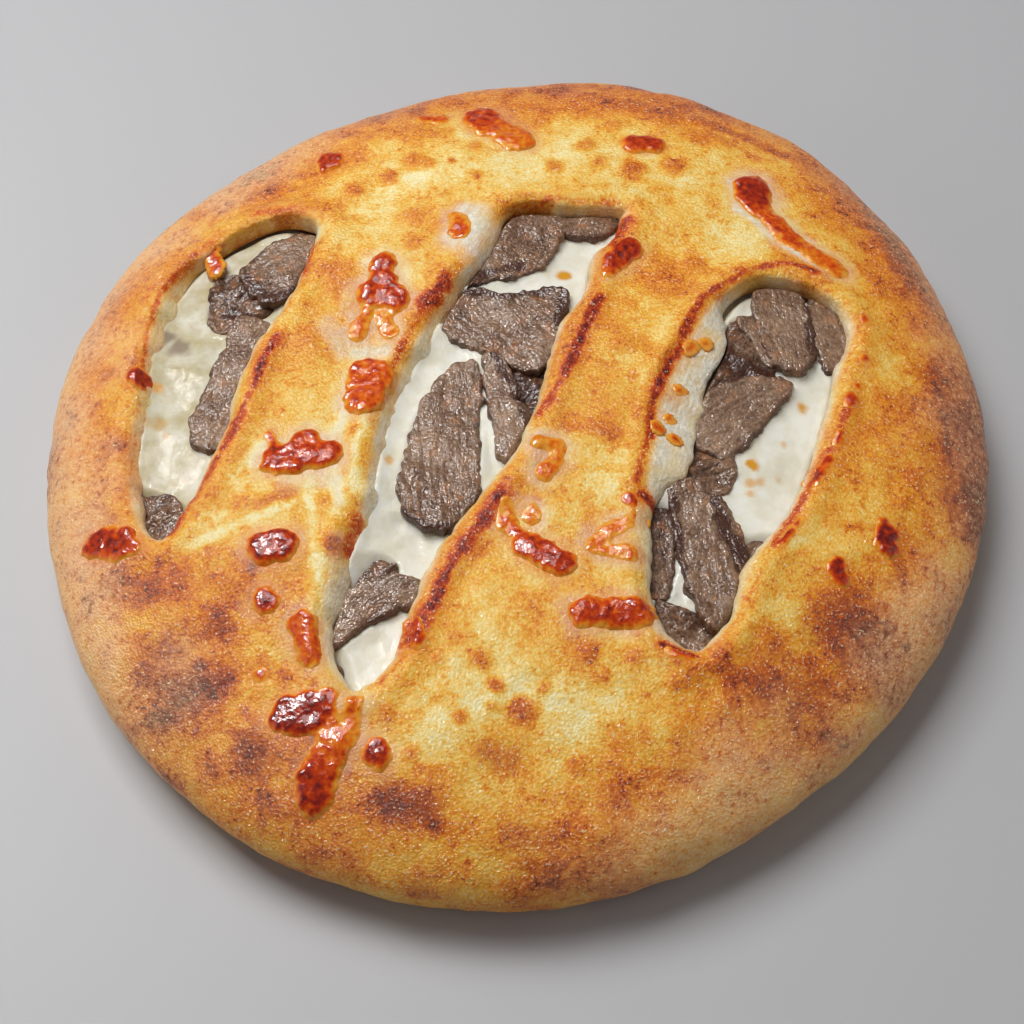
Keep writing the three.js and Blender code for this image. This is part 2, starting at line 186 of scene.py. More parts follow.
def evenly_spaced(curve: Array, step: float) -> Array:
    """A closed curve in even steps, anticlockwise.

    Args:
        curve: Its points in order.
        step: Wanted distance between neighbours, in millimetres.

    Returns:
        The new points, one a row.
    """
    closed = np.vstack([curve, curve[:1]])
    along = np.concatenate([[0.0], np.cumsum(np.linalg.norm(np.diff(closed, axis=0), axis=1))])
    count = max(8, round(along[-1] / step))
    stations = np.linspace(0.0, along[-1], count, endpoint=False)
    ring = np.stack([np.interp(stations, along, closed[:, k]) for k in (0, 1)], axis=1)
    following = np.roll(ring, -1, 0)
    turning = np.sum(ring[:, 0] * following[:, 1] - ring[:, 1] * following[:, 0])
    return ring if turning > 0 else ring[::-1]


def outward(ring: Array) -> Array:
    """The unit direction out of an anticlockwise outline at each of its points.

    Args:
        ring: The outline's points.

    Returns:
        One direction a row.
    """
    run = np.roll(ring, -1, 0) - np.roll(ring, 1, 0)
    normal = np.stack([run[:, 1], -run[:, 0]], axis=1)
    return normal / np.linalg.norm(normal, axis=1, keepdims=True)


def nearest_on(ring: Array, places: Array) -> tuple[Array, Array]:
    """How far some places are from a closed outline, and which of its points is nearest.

    Args:
        ring: The outline, anticlockwise and in short even steps.
        places: The places in plan.

    Returns:
        Distances, negative inside the outline, and indices into the ring.
    """
    normals = outward(ring)
    distance = np.empty(len(places))
    nearest = np.empty(len(places), int)
    for start in range(0, len(places), PLACES_AT_ONCE):
        chosen = slice(start, start + PLACES_AT_ONCE)
        part = places[chosen]
        squares = (
            np.sum(part**2, 1)[:, None] - 2.0 * part @ ring.T + np.sum(ring**2, 1)[None, :]
        )
        index = np.argmin(squares, axis=1)
        offset = part - ring[index]
        side = np.sign(np.sum(offset * normals[index], axis=1))
        distance[chosen] = np.linalg.norm(offset, axis=1) * np.where(side < 0, -1, 1)
        nearest[chosen] = index
    return distance, nearest


def from_path(path: tuple[Point, ...], places: Array) -> Array:
    """Distance from each place to an open path of one or more points.

    Args:
        path: The path's corners.
        places: The places in plan.

    Returns:
        One distance for each place.
    """
    best = np.linalg.norm(places - np.asarray(path[0]), axis=1)
    for start, end in zip(path, path[1:]):
        origin, run = np.asarray(start, float), np.subtract(end, start).astype(float)
        share = np.clip((places - origin) @ run / max(run @ run, 1e-9), 0.0, 1.0)
        best = np.minimum(best, np.linalg.norm(places - origin - share[:, None] * run, axis=1))
    return best


def hexagonal(low: Array, high: Array, spacing: float) -> Array:
    """Points in plan in an even triangular pattern over a rectangle.

    Args:
        low: The rectangle's lowest X and Y.
        high: Its highest X and Y.
        spacing: Distance between neighbours.

    Returns:
        The points, one a row.
    """
    columns = np.arange(low[0], high[0], spacing)
    rows = np.arange(low[1], high[1], spacing * math.sqrt(0.75))
    x, y = np.meshgrid(columns, rows)
    x[1::2] += spacing / 2
    return np.stack([x.ravel(), y.ravel()], axis=1)


# ---- mesh making ----


class Finish(Protocol):
    """Anything that can build the material that a piece wears."""

    def material(self) -> Material:
        """The material."""


class Skin:
    """The growing mesh of one piece: points in millimetres, and faces."""

    TOUCHING = 1e-6  # points as close as this are one, in millimetres
    SLIVER = 1e-7  # twice the area under which a triangle is left out

    def __init__(self) -> None:
        """Starts with nothing."""
        self.points: list[Array] = []
        self.faces: list[Array] = []
        self.count = 0

    def add(self, points: Array) -> Array:
        """Adds points and gives their indices.

        Args:
            points: The points, one a row.

        Returns:
            Their indices.
        """
        self.points.append(np.asarray(points, float))
        self.count += len(points)
        return np.arange(self.count - len(points), self.count)

    def band(self, low: Array, high: Array) -> None:
        """Joins two closed rings of as many points, facing out when low lies below high.

        Args:
            low: One ring's indices.
            high: The other ring's indices.
        """
        low_next, high_next = np.roll(low, -1), np.roll(high, -1)
        self.faces.append(np.stack([low, low_next, high_next], axis=1))
        self.faces.append(np.stack([low, high_next, high], axis=1))

    def stack(self, rings: list[Array]) -> list[Array]:
        """Adds closed rings of as many points, each joined to the one before.

        Args:
            rings: The rings' points, lowest or outermost first.

        Returns:
            The indices of each ring.
        """
        indices = [self.add(ring) for ring in rings]
        for low, high in zip(indices, indices[1:]):
            self.band(low, high)
        return indices

    def fill(
        self, rings: list[Array], loose: Array, wanted: Callable[[Array], Array], down: bool = False
    ) -> None:
        """Fills the plan between rings, over loose points too, with even triangles.

        Args:
            rings: Indices of closed rings that bound the filled region.
            loose: Indices of the points inside it.
            wanted: Takes the middles of triangles in plan and says which ones stay.
            down: Whether the faces look down.
        """
        index = np.concatenate([*rings, loose]).astype(int)
        plan = self.all_points()[index][:, :2]
        edges, start = [], 0
        for ring in rings:
            edges += [(start + i, start + (i + 1) % len(ring)) for i in range(len(ring))]
            start += len(ring)
        spots = [Vector(spot) for spot in plan.tolist()]
        triangles = np.array(delaunay_2d_cdt(spots, edges, [], 0, self.TOUCHING, False)[2])
        triangles = triangles[np.all(triangles < len(plan), axis=1)]
        corners = plan[triangles]
        first, second = corners[:, 1] - corners[:, 0], corners[:, 2] - corners[:, 0]
        area = first[:, 0] * second[:, 1] - first[:, 1] * second[:, 0]
        keep = (np.abs(area) > self.SLIVER) & wanted(corners.mean(axis=1))
        flip = (area < 0) != down
        triangles = np.where(flip[:, None], triangles[:, [0, 2, 1]], triangles)[keep]
        self.faces.append(index[triangles])

    def all_points(self) -> Array:
        """Every point so far."""
        return np.concatenate(self.points)

    def place(
        self, name: str, shift: Array, masks: dict[str, Array], finish: Finish, slot: str
    ) -> Piece:
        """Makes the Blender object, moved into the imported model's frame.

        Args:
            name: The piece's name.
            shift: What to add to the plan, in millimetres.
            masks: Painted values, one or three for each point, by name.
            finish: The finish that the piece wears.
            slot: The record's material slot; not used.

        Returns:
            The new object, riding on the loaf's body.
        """
        points = (self.all_points() + shift) * METRES_PER_MM
        faces = np.concatenate(self.faces)
        mesh = bpy.data.meshes.new(name)
        mesh.vertices.add(len(points))
        mesh.vertices.foreach_set("co", points.ravel())
        mesh.loops.add(faces.size)
        mesh.loops.foreach_set("vertex_index", faces.ravel().astype(np.int32))
        mesh.polygons.add(len(faces))
        mesh.polygons.foreach_set("loop_start", np.arange(0, faces.size, 3, dtype=np.int32))
        mesh.update(calc_edges=True)
        mesh.validate()
        mesh.polygons.foreach_set("use_smooth", np.ones(len(mesh.polygons), bool))
        for label, values in masks.items():
            kind, key = ("FLOAT", "value") if values.ndim == 1 else ("FLOAT_VECTOR", "vector")
            layer = mesh.attributes.new(label, kind, "POINT")
            layer.data.foreach_set(key, values.astype(np.float32).ravel())
        mesh.materials.append(finish.material())
        piece = bpy.data.objects.new(name, mesh)
        bpy.context.scene.collection.objects.link(piece)
        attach(piece, BODY)
        LOG.info("%s: %d points, %d triangles", name, len(points), len(faces))
        return piece


# ---- the finishes ----


class Graph:
    """A material's node graph, built up node by node."""

    def __init__(self, name: str) -> None:
        """Starts a material with an empty graph.

        Args:
            name: The material's name.
        """
        self.material = bpy.data.materials.new(name)
        self.material.use_nodes = True
        self.tree = self.material.node_tree
        self.tree.nodes.clear()

    def node(self, kind: str, settings: dict | None = None, **links: Input) -> bpy.types.Node:
        """Adds a node with its settings, fixed inputs and links.

        Args:
            kind: Blender's type name without "ShaderNode".
            settings: Properties of the node.
            **links: Inputs by name, spaces written as underscores, or by number as in_0.
                A socket is linked to; anything else is set on the input.

        Returns:
            The node.
        """
        made = self.tree.nodes.new("ShaderNode" + kind)
        for key, value in (settings or {}).items():
            setattr(made, key, value)
        for key, value in links.items():
            name = key[3:] if key.startswith("in_") else key.replace("_", " ")
            socket = made.inputs[int(name) if name.isdigit() else name]
            if isinstance(value, Socket):
                self.tree.links.new(value, socket)
            else:
                socket.default_value = value
        return made

    def ramp(self, value: Input, stops: Stops) -> Socket:
        """A colour ramp over a value.

        Args:
            value: The socket that drives it.
            stops: Positions and sRGB hex colours, at least two and in order.

        Returns:
            The colour socket.
        """
        made = self.node("ValToRGB", Fac=value)
        elements = made.color_ramp.elements
        while len(elements) < len(stops):
            elements.new(0.5)
        for element, (position, code) in zip(elements, stops):
            element.position = position
            element.color = linear(code)
        return made.outputs["Color"]

    def blend(self, share: Input, first: Input, second: Input) -> Socket:
        """A colour between two colours, at a share that may be a socket."""
        made = self.node("Mix", {"data_type": "RGBA"}, in_0=share, in_6=first, in_7=second)
        return made.outputs[2]

    def sums(self, operation: str, *values: Input) -> Socket:
        """The result of one of the Math node's operations on one to three values."""
        slots = {f"in_{i}": value for i, value in enumerate(values)}
        return self.node("Math", {"operation": operation}, **slots).outputs[0]

    def mask(self, name: str, output: str = "Fac") -> Socket:
        """A painted mask of the mesh; its output "Vector" has three parts."""
        made = self.node("Attribute", {"attribute_type": "GEOMETRY", "attribute_name": name})
        return made.outputs[output]

    def centred(self, value: Input, amount: float, middle: float = 0.5) -> Socket:
        """A value swung about nought: amount times what it has over the middle."""
        return self.sums("MULTIPLY_ADD", value, amount, -amount * middle)

    def step(self, value: Input, low: float, high: float, top: float = 1.0) -> Socket:
        """A soft step from 0 to top while the value goes from low to high."""
        made = self.node(
            "MapRange", {"interpolation_type": "SMOOTHSTEP"},
            Value=value, From_Min=low, From_Max=high, To_Max=top,
        )
        return made.outputs[0]

    def softened(self, bumped: Input, share: float) -> Socket:
        """The bumped normal taken back towards the mesh's own, for light that sinks in.

        Args:
            bumped: The bumped normal.
            share: How much of it is left.

        Returns:
            The normal between the two.
        """
        plain = self.node("NewGeometry").outputs["Normal"]
        made = self.node("Mix", {"data_type": "VECTOR"}, in_0=share, in_4=plain, in_5=bumped)
        return self.node("VectorMath", {"operation": "NORMALIZE"}, in_0=made.outputs[1]).outputs[0]

    def noise(self, place: Input, size_mm: float, detail: float = 2.0, rough: float = 0.5) -> Socket:
        """Soft noise whose patches are about size_mm across, from 0 to 1."""
        scale = 1.0 / (size_mm * METRES_PER_MM)
        return self.node("TexNoise", Vector=place, Scale=scale, Detail=detail, Roughness=rough).outputs[0]

    def finish(self, shader: Socket) -> Material:
        """Links the surface shader to the output and gives the material."""
        self.node("OutputMaterial", Surface=shader)
        return self.material


@dataclass(frozen=True)
class BakedCrust:
    """Wheat dough, baked in a hot oven and basted by its own melted fat.

    The eye sees cream where the cheese kept it pale, gold, then orange brown towards the
    rim and purplish brown where it caught; a fine blistered skin, and an oily sheen. The
    skin's grain and oily beads are about 0.4 mm in truth and drawn coarser, so that the
    render can show them. Pale dots painted on the beads are painted highlights, glints of
    light; the rim is painted lighter at the left and lower right, where it is dusty too.
    """

    grain_mm: float = 0.8
    bead_mm: float = 0.62
    freckle_mm: float = 1.7
    cluster_mm: float = 7.0
    strand_mm: float = 0.9
    browning: Stops = (
        (0.0, "#F8E8B0"), (0.14, "#F5D784"), (0.28, "#F2BE52"), (0.41, "#EDA434"),
        (0.54, "#E38824"), (0.67, "#CE661E"), (0.8, "#A64822"), (0.9, "#7A3220"), (1.0, "#50241C"),
    )
    browned_lip: Stops = (
        (0.0, "#F0A238"), (0.32, "#E27A1C"), (0.56, "#C84A18"), (0.8, "#8C2A1A"), (1.0, "#581D1D"),
    )
    caught: str = "#8C4A38"
    cheese_film: str = "#EEE8D8"
    thin_film: str = "#DCD0B6"
    fat_stain: str = "#DB761A"
    # A dusty rim, painted lighter too: painted light where the lamp falls at the left, and over the shade
    # at the lower right.
    dry_and_lit: str = "#F4C592"
    # Painted highlight: the colour of light glinting on an oily bead.
    painted_glint: str = "#FBE3B4"

    def material(self) -> Material:
        """Builds the crust's material.

        Returns:
            The material.
        """
        g = Graph("baked_crust")
        place = g.node("TexCoord").outputs["Object"]
        cluster = g.noise(place, self.cluster_mm, 2.0)
        freckle = g.noise(place, self.freckle_mm, 3.0, 0.62)
        grain = g.noise(place, self.grain_mm, 1.0, 0.6)
        film = g.mask("film")
        calm = g.sums("MULTIPLY_ADD", film, -0.8, 1.0)
        spots = g.step(g.sums("ADD", freckle, g.centred(cluster, 0.45)), 0.54, 0.8, 0.19)
        uneven = g.sums("ADD", g.centred(cluster, 0.34), g.centred(freckle, 0.3))
        uneven = g.sums("ADD", g.sums("ADD", uneven, spots), g.centred(grain, 0.5))
        colour = g.ramp(g.sums("MULTIPLY_ADD", uneven, calm, g.mask("bake")), self.browning)
        # The dusty rim, painted lighter as painted light.
        lit_dust = g.sums("MULTIPLY", g.mask("dry_and_lit"), g.centred(freckle, -2.4, 0.8))
        colour = g.blend(g.sums("MINIMUM", lit_dust, 0.72), colour, linear(self.dry_and_lit))
        caught_share = g.sums("MULTIPLY", g.mask("caught"), g.centred(freckle, 1.8, 0.25))
        colour = g.blend(g.sums("MINIMUM", caught_share, 0.85), colour, linear(self.caught))
        colour = g.blend(g.mask("stain"), colour, linear(self.fat_stain))
        strands = g.node(
            "TexNoise", Vector=g.mask("strands", "Vector"), Scale=1.0 / self.strand_mm, Detail=1.0
        ).outputs[0]
        streaks = g.sums("ADD", g.centred(strands, 0.8, -0.75), g.centred(freckle, 0.8))
        film_share = g.sums("MULTIPLY", film, streaks)
        froth = g.sums("ADD", g.noise(place, 1.5, 3.0, 0.65), g.sums("MULTIPLY", strands, 0.4))
        filmed = g.blend(g.step(froth, 0.55, 0.85), linear(self.thin_film), linear(self.cheese_film))
        colour = g.blend(g.sums("MINIMUM", film_share, 1.0), colour, filmed)
        grit = g.sums("ADD", g.centred(freckle, 1.5, -0.15), g.centred(grain, 0.9))
        lip = g.sums("MULTIPLY", g.mask("lip"), grit)
        colour = g.blend(g.step(lip, 0.12, 0.5), colour, g.ramp(lip, self.browned_lip))
        beads = g.noise(place, self.bead_mm, 0.0)
        # Pale dots painted on the beads' tops are painted highlights, glints of light.
        glint_share = g.sums("MULTIPLY", g.step(beads, 0.66, 0.8, 0.6), calm)
        colour = g.blend(glint_share, colour, linear(self.painted_glint))
        skin = g.sums("MULTIPLY", g.sums("MULTIPLY_ADD", grain, 2.2, beads), calm)
        height = g.sums("ADD", skin, g.sums("MULTIPLY", g.sums("MULTIPLY", froth, film), 4.0))
        bump = g.node("Bump", Strength=1.0, Distance=0.00036, Height=height).outputs["Normal"]
        rough = g.sums("MULTIPLY_ADD", cluster, 0.4, 0.22)
        surface = g.node(
            "BsdfPrincipled", Base_Color=colour, Roughness=rough, Normal=g.softened(bump, 0.4), IOR=1.45,
            Specular_IOR_Level=0.05, Coat_Weight=0.4, Coat_Roughness=0.1, Coat_Normal=bump,
        ).outputs[0]
        return g.finish(surface)


@dataclass(frozen=True)
class BrownedCheese:
    """Cheese that ran out on the hot crust and fried there in its own fat.

    The eye sees glassy, bubbled patches: dark red brown in the middle, bright orange at
    the thin rim.
    """

    bubble_mm: float = 1.5
    colours: Stops = (
        (0.0, "#EDA23C"), (0.2, "#E5821C"), (0.4, "#DC5E14"), (0.6, "#C23C12"), (0.8, "#9C2A14"),
        (1.0, "#6C1C1A"),
    )

    def material(self) -> Material:
        """Builds the browned cheese's material.

        Returns:
            The material.
        """
        g = Graph("browned_cheese")
        place = g.node("TexCoord").outputs["Object"]
        cells = g.node(
            "TexVoronoi", Vector=place, Scale=1.0 / (self.bubble_mm * METRES_PER_MM)
        ).outputs["Distance"]
        patch = g.noise(place, 1.9, 2.0, 0.55)
        depth = g.sums("ADD", g.mask("core"), g.centred(patch, 1.1, 0.53))
        depth = g.sums("ADD", depth, g.centred(cells, -0.3, 0.4))
        colour = g.ramp(depth, self.colours)
        height = g.sums("MULTIPLY_ADD", cells, -0.5, patch)
        bump = g.node("Bump", Strength=1.0, Distance=0.0003, Height=height).outputs["Normal"]
        surface = g.node(
            "BsdfPrincipled", Base_Color=colour, Roughness=0.3, Normal=g.softened(bump, 0.6), IOR=1.46,
            Specular_IOR_Level=0.08, Coat_Weight=0.55, Coat_Roughness=0.08, Coat_Normal=bump,
        ).outputs[0]
        return g.finish(surface)


@dataclass(frozen=True)
class MeltedCheese:
    """Mild white cheese, melted and just setting.

    The eye sees a smooth, wet, ivory surface that light sinks into, with a few yellow
    spots of fat and a greyish tint where beef lies just under it. Yellowish painted shade,
    with some fat, lies along the slits' left walls and over the whole left slit.
    """

    pale: str = "#F0EEE2"
    deep: str = "#E4DFCA"
    # Yellowish painted shade, with some fat, for the cheese along the walls and in the left slit.
    fat_and_shade: str = "#B3A26E"
    fat: str = "#D99A2E"
    meat_tint: str = "#93826F"

    def material(self) -> Material:
        """Builds the melted cheese's material.

        Returns:
            The material.
        """
        g = Graph("melted_cheese")
        place = g.node("TexCoord").outputs["Object"]
        cloud = g.noise(place, 7.0, 3.0, 0.55)
        colour = g.blend(g.step(cloud, 0.35, 0.7), linear(self.pale), linear(self.deep))
        # Painted shade, yellow with fat, by the walls and over the left slit.
        fat_and_shade = g.sums("MULTIPLY", g.mask("fat_and_shade_pool"), g.centred(cloud, 1.6, 0.12))
        colour = g.blend(fat_and_shade, colour, linear(self.fat_and_shade))
        colour = g.blend(g.sums("MULTIPLY", g.mask("tint"), 1.2), colour, linear(self.meat_tint))
        colour = g.blend(g.sums("MULTIPLY", g.mask("fat"), 1.4), colour, linear(self.fat))
        lumps = g.sums("ADD", g.noise(place, 2.4, 2.0), g.sums("MULTIPLY", g.noise(place, 0.8, 1.0), 0.4))
        bump = g.node("Bump", Strength=1.0, Distance=0.0003, Height=lumps).outputs["Normal"]
        surface = g.node(
            "BsdfPrincipled", Base_Color=colour, Roughness=0.4, Normal=g.softened(bump, 0.4), IOR=1.45,
            Specular_IOR_Level=0.08, Subsurface_Weight=0.25, Subsurface_Scale=0.002,
            Subsurface_Radius=(1.0, 0.8, 0.5), Coat_Weight=0.16, Coat_Roughness=0.07, Coat_Normal=bump,
        ).outputs[0]
        return g.finish(surface)


@dataclass(frozen=True)
class RoastBeef:
    """Thin slices of beef, roasted through and wet with fat.

    The eye sees grey brown meat of short grainy fibres, darker seared rims, small dark
    pits and wet glints. The fibres are about 0.5 mm thick in truth and drawn twice as
    coarse, so that the render can show them.
    """

    grain_mm: float = 1.0
    pit_mm: float = 1.0
    crumb_mm: float = 0.9
    colours: Stops = (
        (0.0, "#3E291D"), (0.26, "#684A38"), (0.48, "#866852"), (0.72, "#A2866E"), (1.0, "#C8B19C"),
    )
    sear: str = "#45261D"
    fat_glaze: str = "#A86228"

    def material(self) -> Material:
        """Builds the beef's material.

        Returns:
            The material.
        """
        g = Graph("roast_beef")
        place = g.node("TexCoord").outputs["Object"]
        grain = g.mask("grain", "Vector")
        fibres = g.node(
            "TexNoise", Vector=grain, Scale=1.0 / self.grain_mm, Detail=2.0, Roughness=0.5
        ).outputs[0]
        cells = g.node(
            "TexVoronoi", Vector=place, Scale=1.0 / (self.pit_mm * METRES_PER_MM)
        ).outputs["Distance"]
        cloud = g.noise(place, 4.5, 3.0, 0.6)
        crumb = g.noise(place, self.crumb_mm, 1.0, 0.6)
        tone = g.sums("ADD", g.centred(fibres, 0.6), g.centred(cloud, 0.6))
        tone = g.sums("ADD", tone, g.centred(crumb, 0.7))
        colour = g.ramp(g.sums("ADD", tone, g.mask("tone")), self.colours)
        glazed = g.step(g.sums("ADD", cloud, g.centred(fibres, 0.5)), 0.54, 0.72, 0.45)
        colour = g.blend(glazed, colour, linear(self.fat_glaze))
        seared = g.sums("MULTIPLY", g.mask("sear"), g.sums("MULTIPLY_ADD", fibres, 2.0, 0.2))
        colour = g.blend(g.sums("MINIMUM", seared, 0.85), colour, linear(self.sear))
        pits = g.sums("MULTIPLY", cells, cells)
        height = g.sums("MULTIPLY_ADD", pits, -0.35, g.sums("ADD", fibres, crumb))
        bump = g.node("Bump", Strength=1.0, Distance=0.0005, Height=height).outputs["Normal"]
        surface = g.node(
            "BsdfPrincipled", Base_Color=colour, Roughness=0.45, Normal=g.softened(bump, 0.7), IOR=1.42,
            Specular_IOR_Level=0.08, Coat_Weight=0.55, Coat_IOR=1.6, Coat_Roughness=0.12, Coat_Normal=bump,
        ).outputs[0]
        return g.finish(surface)


@dataclass(frozen=True)
class PaleTable:
    """Matt pale laminate: the eye sees an even grey that keeps out of the loaf's way."""

    colour: str = "#B6B6B8"

    def material(self) -> Material:
        """Builds the table's material.

        Returns:
            The material.
        """
        g = Graph("pale_table")
        surface = g.node("BsdfPrincipled", Base_Color=linear(self.colour), Roughness=0.6).outputs[0]
        return g.finish(surface)


# ---- the loaf's form ----


@dataclass(frozen=True)
class Loaf:
    """The loaf's form: a hand-shaped outline under a flattened dome. Sizes in millimetres."""

    radius: float = 130.0
    height: float = 42.0
    widest_height: float = 15.0
    base_reach: float = 0.91
    dome_power: float = 2.8
    centre: Point = (0.2, 1.3)
    outline_points: int = 720
    pocket_points: int = 90
    # Lobes round the outline, each with its cosine's and its sine's share of the radius.
    wander: tuple[tuple[int, float, float], ...] = (
        (2, -0.0135, 0.03), (3, -0.005, 0.006), (4, 0.002, -0.009), (5, 0.003, -0.001),
    )
    # Slow swells of the crown: height, direction in degrees, length and phase.
    swells: tuple[tuple[float, float, float, float], ...] = (
        (0.7, 20.0, 95.0, 0.4), (0.5, 115.0, 70.0, 2.1), (0.4, 70.0, 48.0, 4.0),
    )

    def outline_radius(self, angle: Array) -> Array:
        """Radius of the outline in a direction from the loaf's centre.

        Args:
            angle: Directions in radians.

        Returns:
            One radius for each.
        """
        share = np.ones_like(angle)
        for lobes, cosine, sine in self.wander:
            share = share + cosine * np.cos(lobes * angle) + sine * np.sin(lobes * angle)
        return self.radius * share

    def reach(self, places: Array) -> Array:
        """How far out a place is, as a share of the way to the outline."""
        offset = places[:, :2] - np.asarray(self.centre)
        return np.linalg.norm(offset, axis=1) / self.outline_radius(np.arctan2(offset[:, 1], offset[:, 0]))

    def dome(self, reach: Array) -> Array:
        """Height of the smooth dome at a reach."""
        fall = np.minimum(1.0, reach) ** self.dome_power
        return self.widest_height + (self.height - self.widest_height) * np.sqrt(1.0 - fall)

    def crown(self, places: Array) -> Array:
        """Height of the crown over some places, slow swells included.

        Args:
            places: The places in plan.

        Returns:
            One height for each.
        """
        reach = self.reach(places)
        swell = np.zeros(len(places))
        for height, towards, length, phase in self.swells:
            angle = math.radians(towards)
            along = places[:, 0] * math.cos(angle) + places[:, 1] * math.sin(angle)
            swell += height * np.sin(2 * math.pi * along / length + phase)
        return self.dome(reach) + swell * np.maximum(0.0, 1.0 - reach**4)

    def ring(self, reach: float, count: int) -> Array:
        """Points in plan round the loaf at a reach.

        Args:
            reach: How far out, as a share of the outline.
            count: How many points.

        Returns:
            The points, one a row.
        """
        angle = np.linspace(0.0, 2 * math.pi, count, endpoint=False)
        radius = reach * self.outline_radius(angle)
        return np.stack([radius * np.cos(angle), radius * np.sin(angle)], axis=1) + np.asarray(self.centre)

    def within(self, reach: float, spacing: float) -> Array:
        """Evenly spread places in plan up to a reach."""
        places = hexagonal(np.full(2, -self.radius), np.full(2, self.radius), spacing)
        return places[self.reach(places) < reach]

    def pocket_rings(self, levels: tuple[tuple[float, float | None], ...], under: float) -> list[Array]:
        """Coarse rings round the pocket or what fills it.

        Args:
            levels: Reach and height of each ring; without a height it follows the crown.
            under: How far such a ring lies under the crown.

        Returns:
            The rings' points.
        """
        rings = []
        for reach, height in levels:
            plan = self.ring(reach, self.pocket_points)
            level = self.crown(plan) - under if height is None else np.full(len(plan), height)
            rings.append(np.column_stack([plan, level]))
        return rings

    def shift(self) -> Array:
        """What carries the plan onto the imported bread, in millimetres.

        Returns:
            What to add to X, Y and Z.
        """
        low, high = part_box("bread")
        outline = self.ring(1.0, self.outline_points)
        middle = (outline.min(axis=0) + outline.max(axis=0)) / 2
        packed = (np.array(low[:2]) + np.array(high[:2])) / 2 / METRES_PER_MM
        return np.array([*(packed - middle), low[2] / METRES_PER_MM])


@dataclass
class Slit:
    """One slit: its edge on the crown, and the dough wall that slopes in from its left.

    wall is how far the wall slopes in, fall how deep its inner edge lies, and wall_span
    the stretch of Y over which it has run in and out again. filmed is how strongly
    cheese films the wall, and fat_and_shade how much yellow fat and painted shade lie in
    the cheese along it.
    """

    lip: tuple[Point, ...]
    wall: float
    fall: float
    wall_span: Point
    filmed: float
    fat_and_shade: float
    step: float = 0.85
    wall_run: float = 24.0
    rolled_in: float = 2.2
    # The rolled edge: how far out from the lip and how high over the crown.
    rounded: tuple[Point, ...] = (
        (3.8, 1.0), (2.4, 0.9), (0.9, 0.3), (-0.5, -0.7), (-1.5, -1.8),
        (-2.1, -3.1), (-2.2, -4.6), (-1.5, -6.0), (0.5, -7.3), (3.0, -8.2),
    )
    # The sloping side, as shares of wall and of fall once it is inside the lip.
    sloping: tuple[Point, ...] = (
        (0.0, 0.0), (0.0, 0.0), (0.0, 0.0), (-0.1, -0.08), (-0.36, -0.3),
        (-0.62, -0.55), (-0.85, -0.78), (-1.0, -1.0), (-1.0, -1.25), (-0.86, -1.45),
    )
    edge: Array = field(init=False)
    normal: Array = field(init=False)
    share: Array = field(init=False)

    def __post_init__(self) -> None:
        """Works out the edge, its directions and how much of it is the sloping side."""
        self.edge = smooth_outline(self.lip, self.step)
        self.normal = outward(self.edge)
        start, end = self.wall_span
        y = self.edge[:, 1]
        run_in = smoothstep(start, start + self.wall_run, y)
        run_in = run_in * (1 - smoothstep(end - self.wall_run, end, y))
        self.share = smoothstep(0.1, 0.85, -self.normal[:, 0]) * run_in

    def section(self, levels: int) -> tuple[Array, Array]:
        """The section through the slit's edge at each point of it.

        Args:
            levels: How many points the section has.

        Returns:
            How far out from the lip and how high over the crown, one row a level.
        """
        rounded = np.array(self.rounded)
        sloping = np.array(self.sloping) * (self.wall, self.fall)
        sloping[:3] = rounded[:3]
        sloping[-1, 1] = rounded[-1, 1]
        knots = np.linspace(0.0, 1.0, len(rounded))
        wanted = np.linspace(0.0, 1.0, levels)
        out, high = [], []
        for table, made in ((0, out), (1, high)):
            round_curve = np.interp(wanted, knots, rounded[:, table])
            slope_curve = np.interp(wanted, knots, sloping[:, table])
            made.extend(mix(round_curve[:, None], slope_curve[:, None], self.share[None, :]))
        # At a slit's far end the edge stands more upright.
        upright = 0.75 * smoothstep(0.3, 0.9, self.normal[:, 1])
        out = np.array(out)
        return np.where(out < 0, out * (1.0 - upright), out), np.array(high)

    def inner_edge(self) -> Array:
        """How far inside the lip the dough's innermost edge stands."""
        return mix(self.rolled_in, self.wall, self.share)


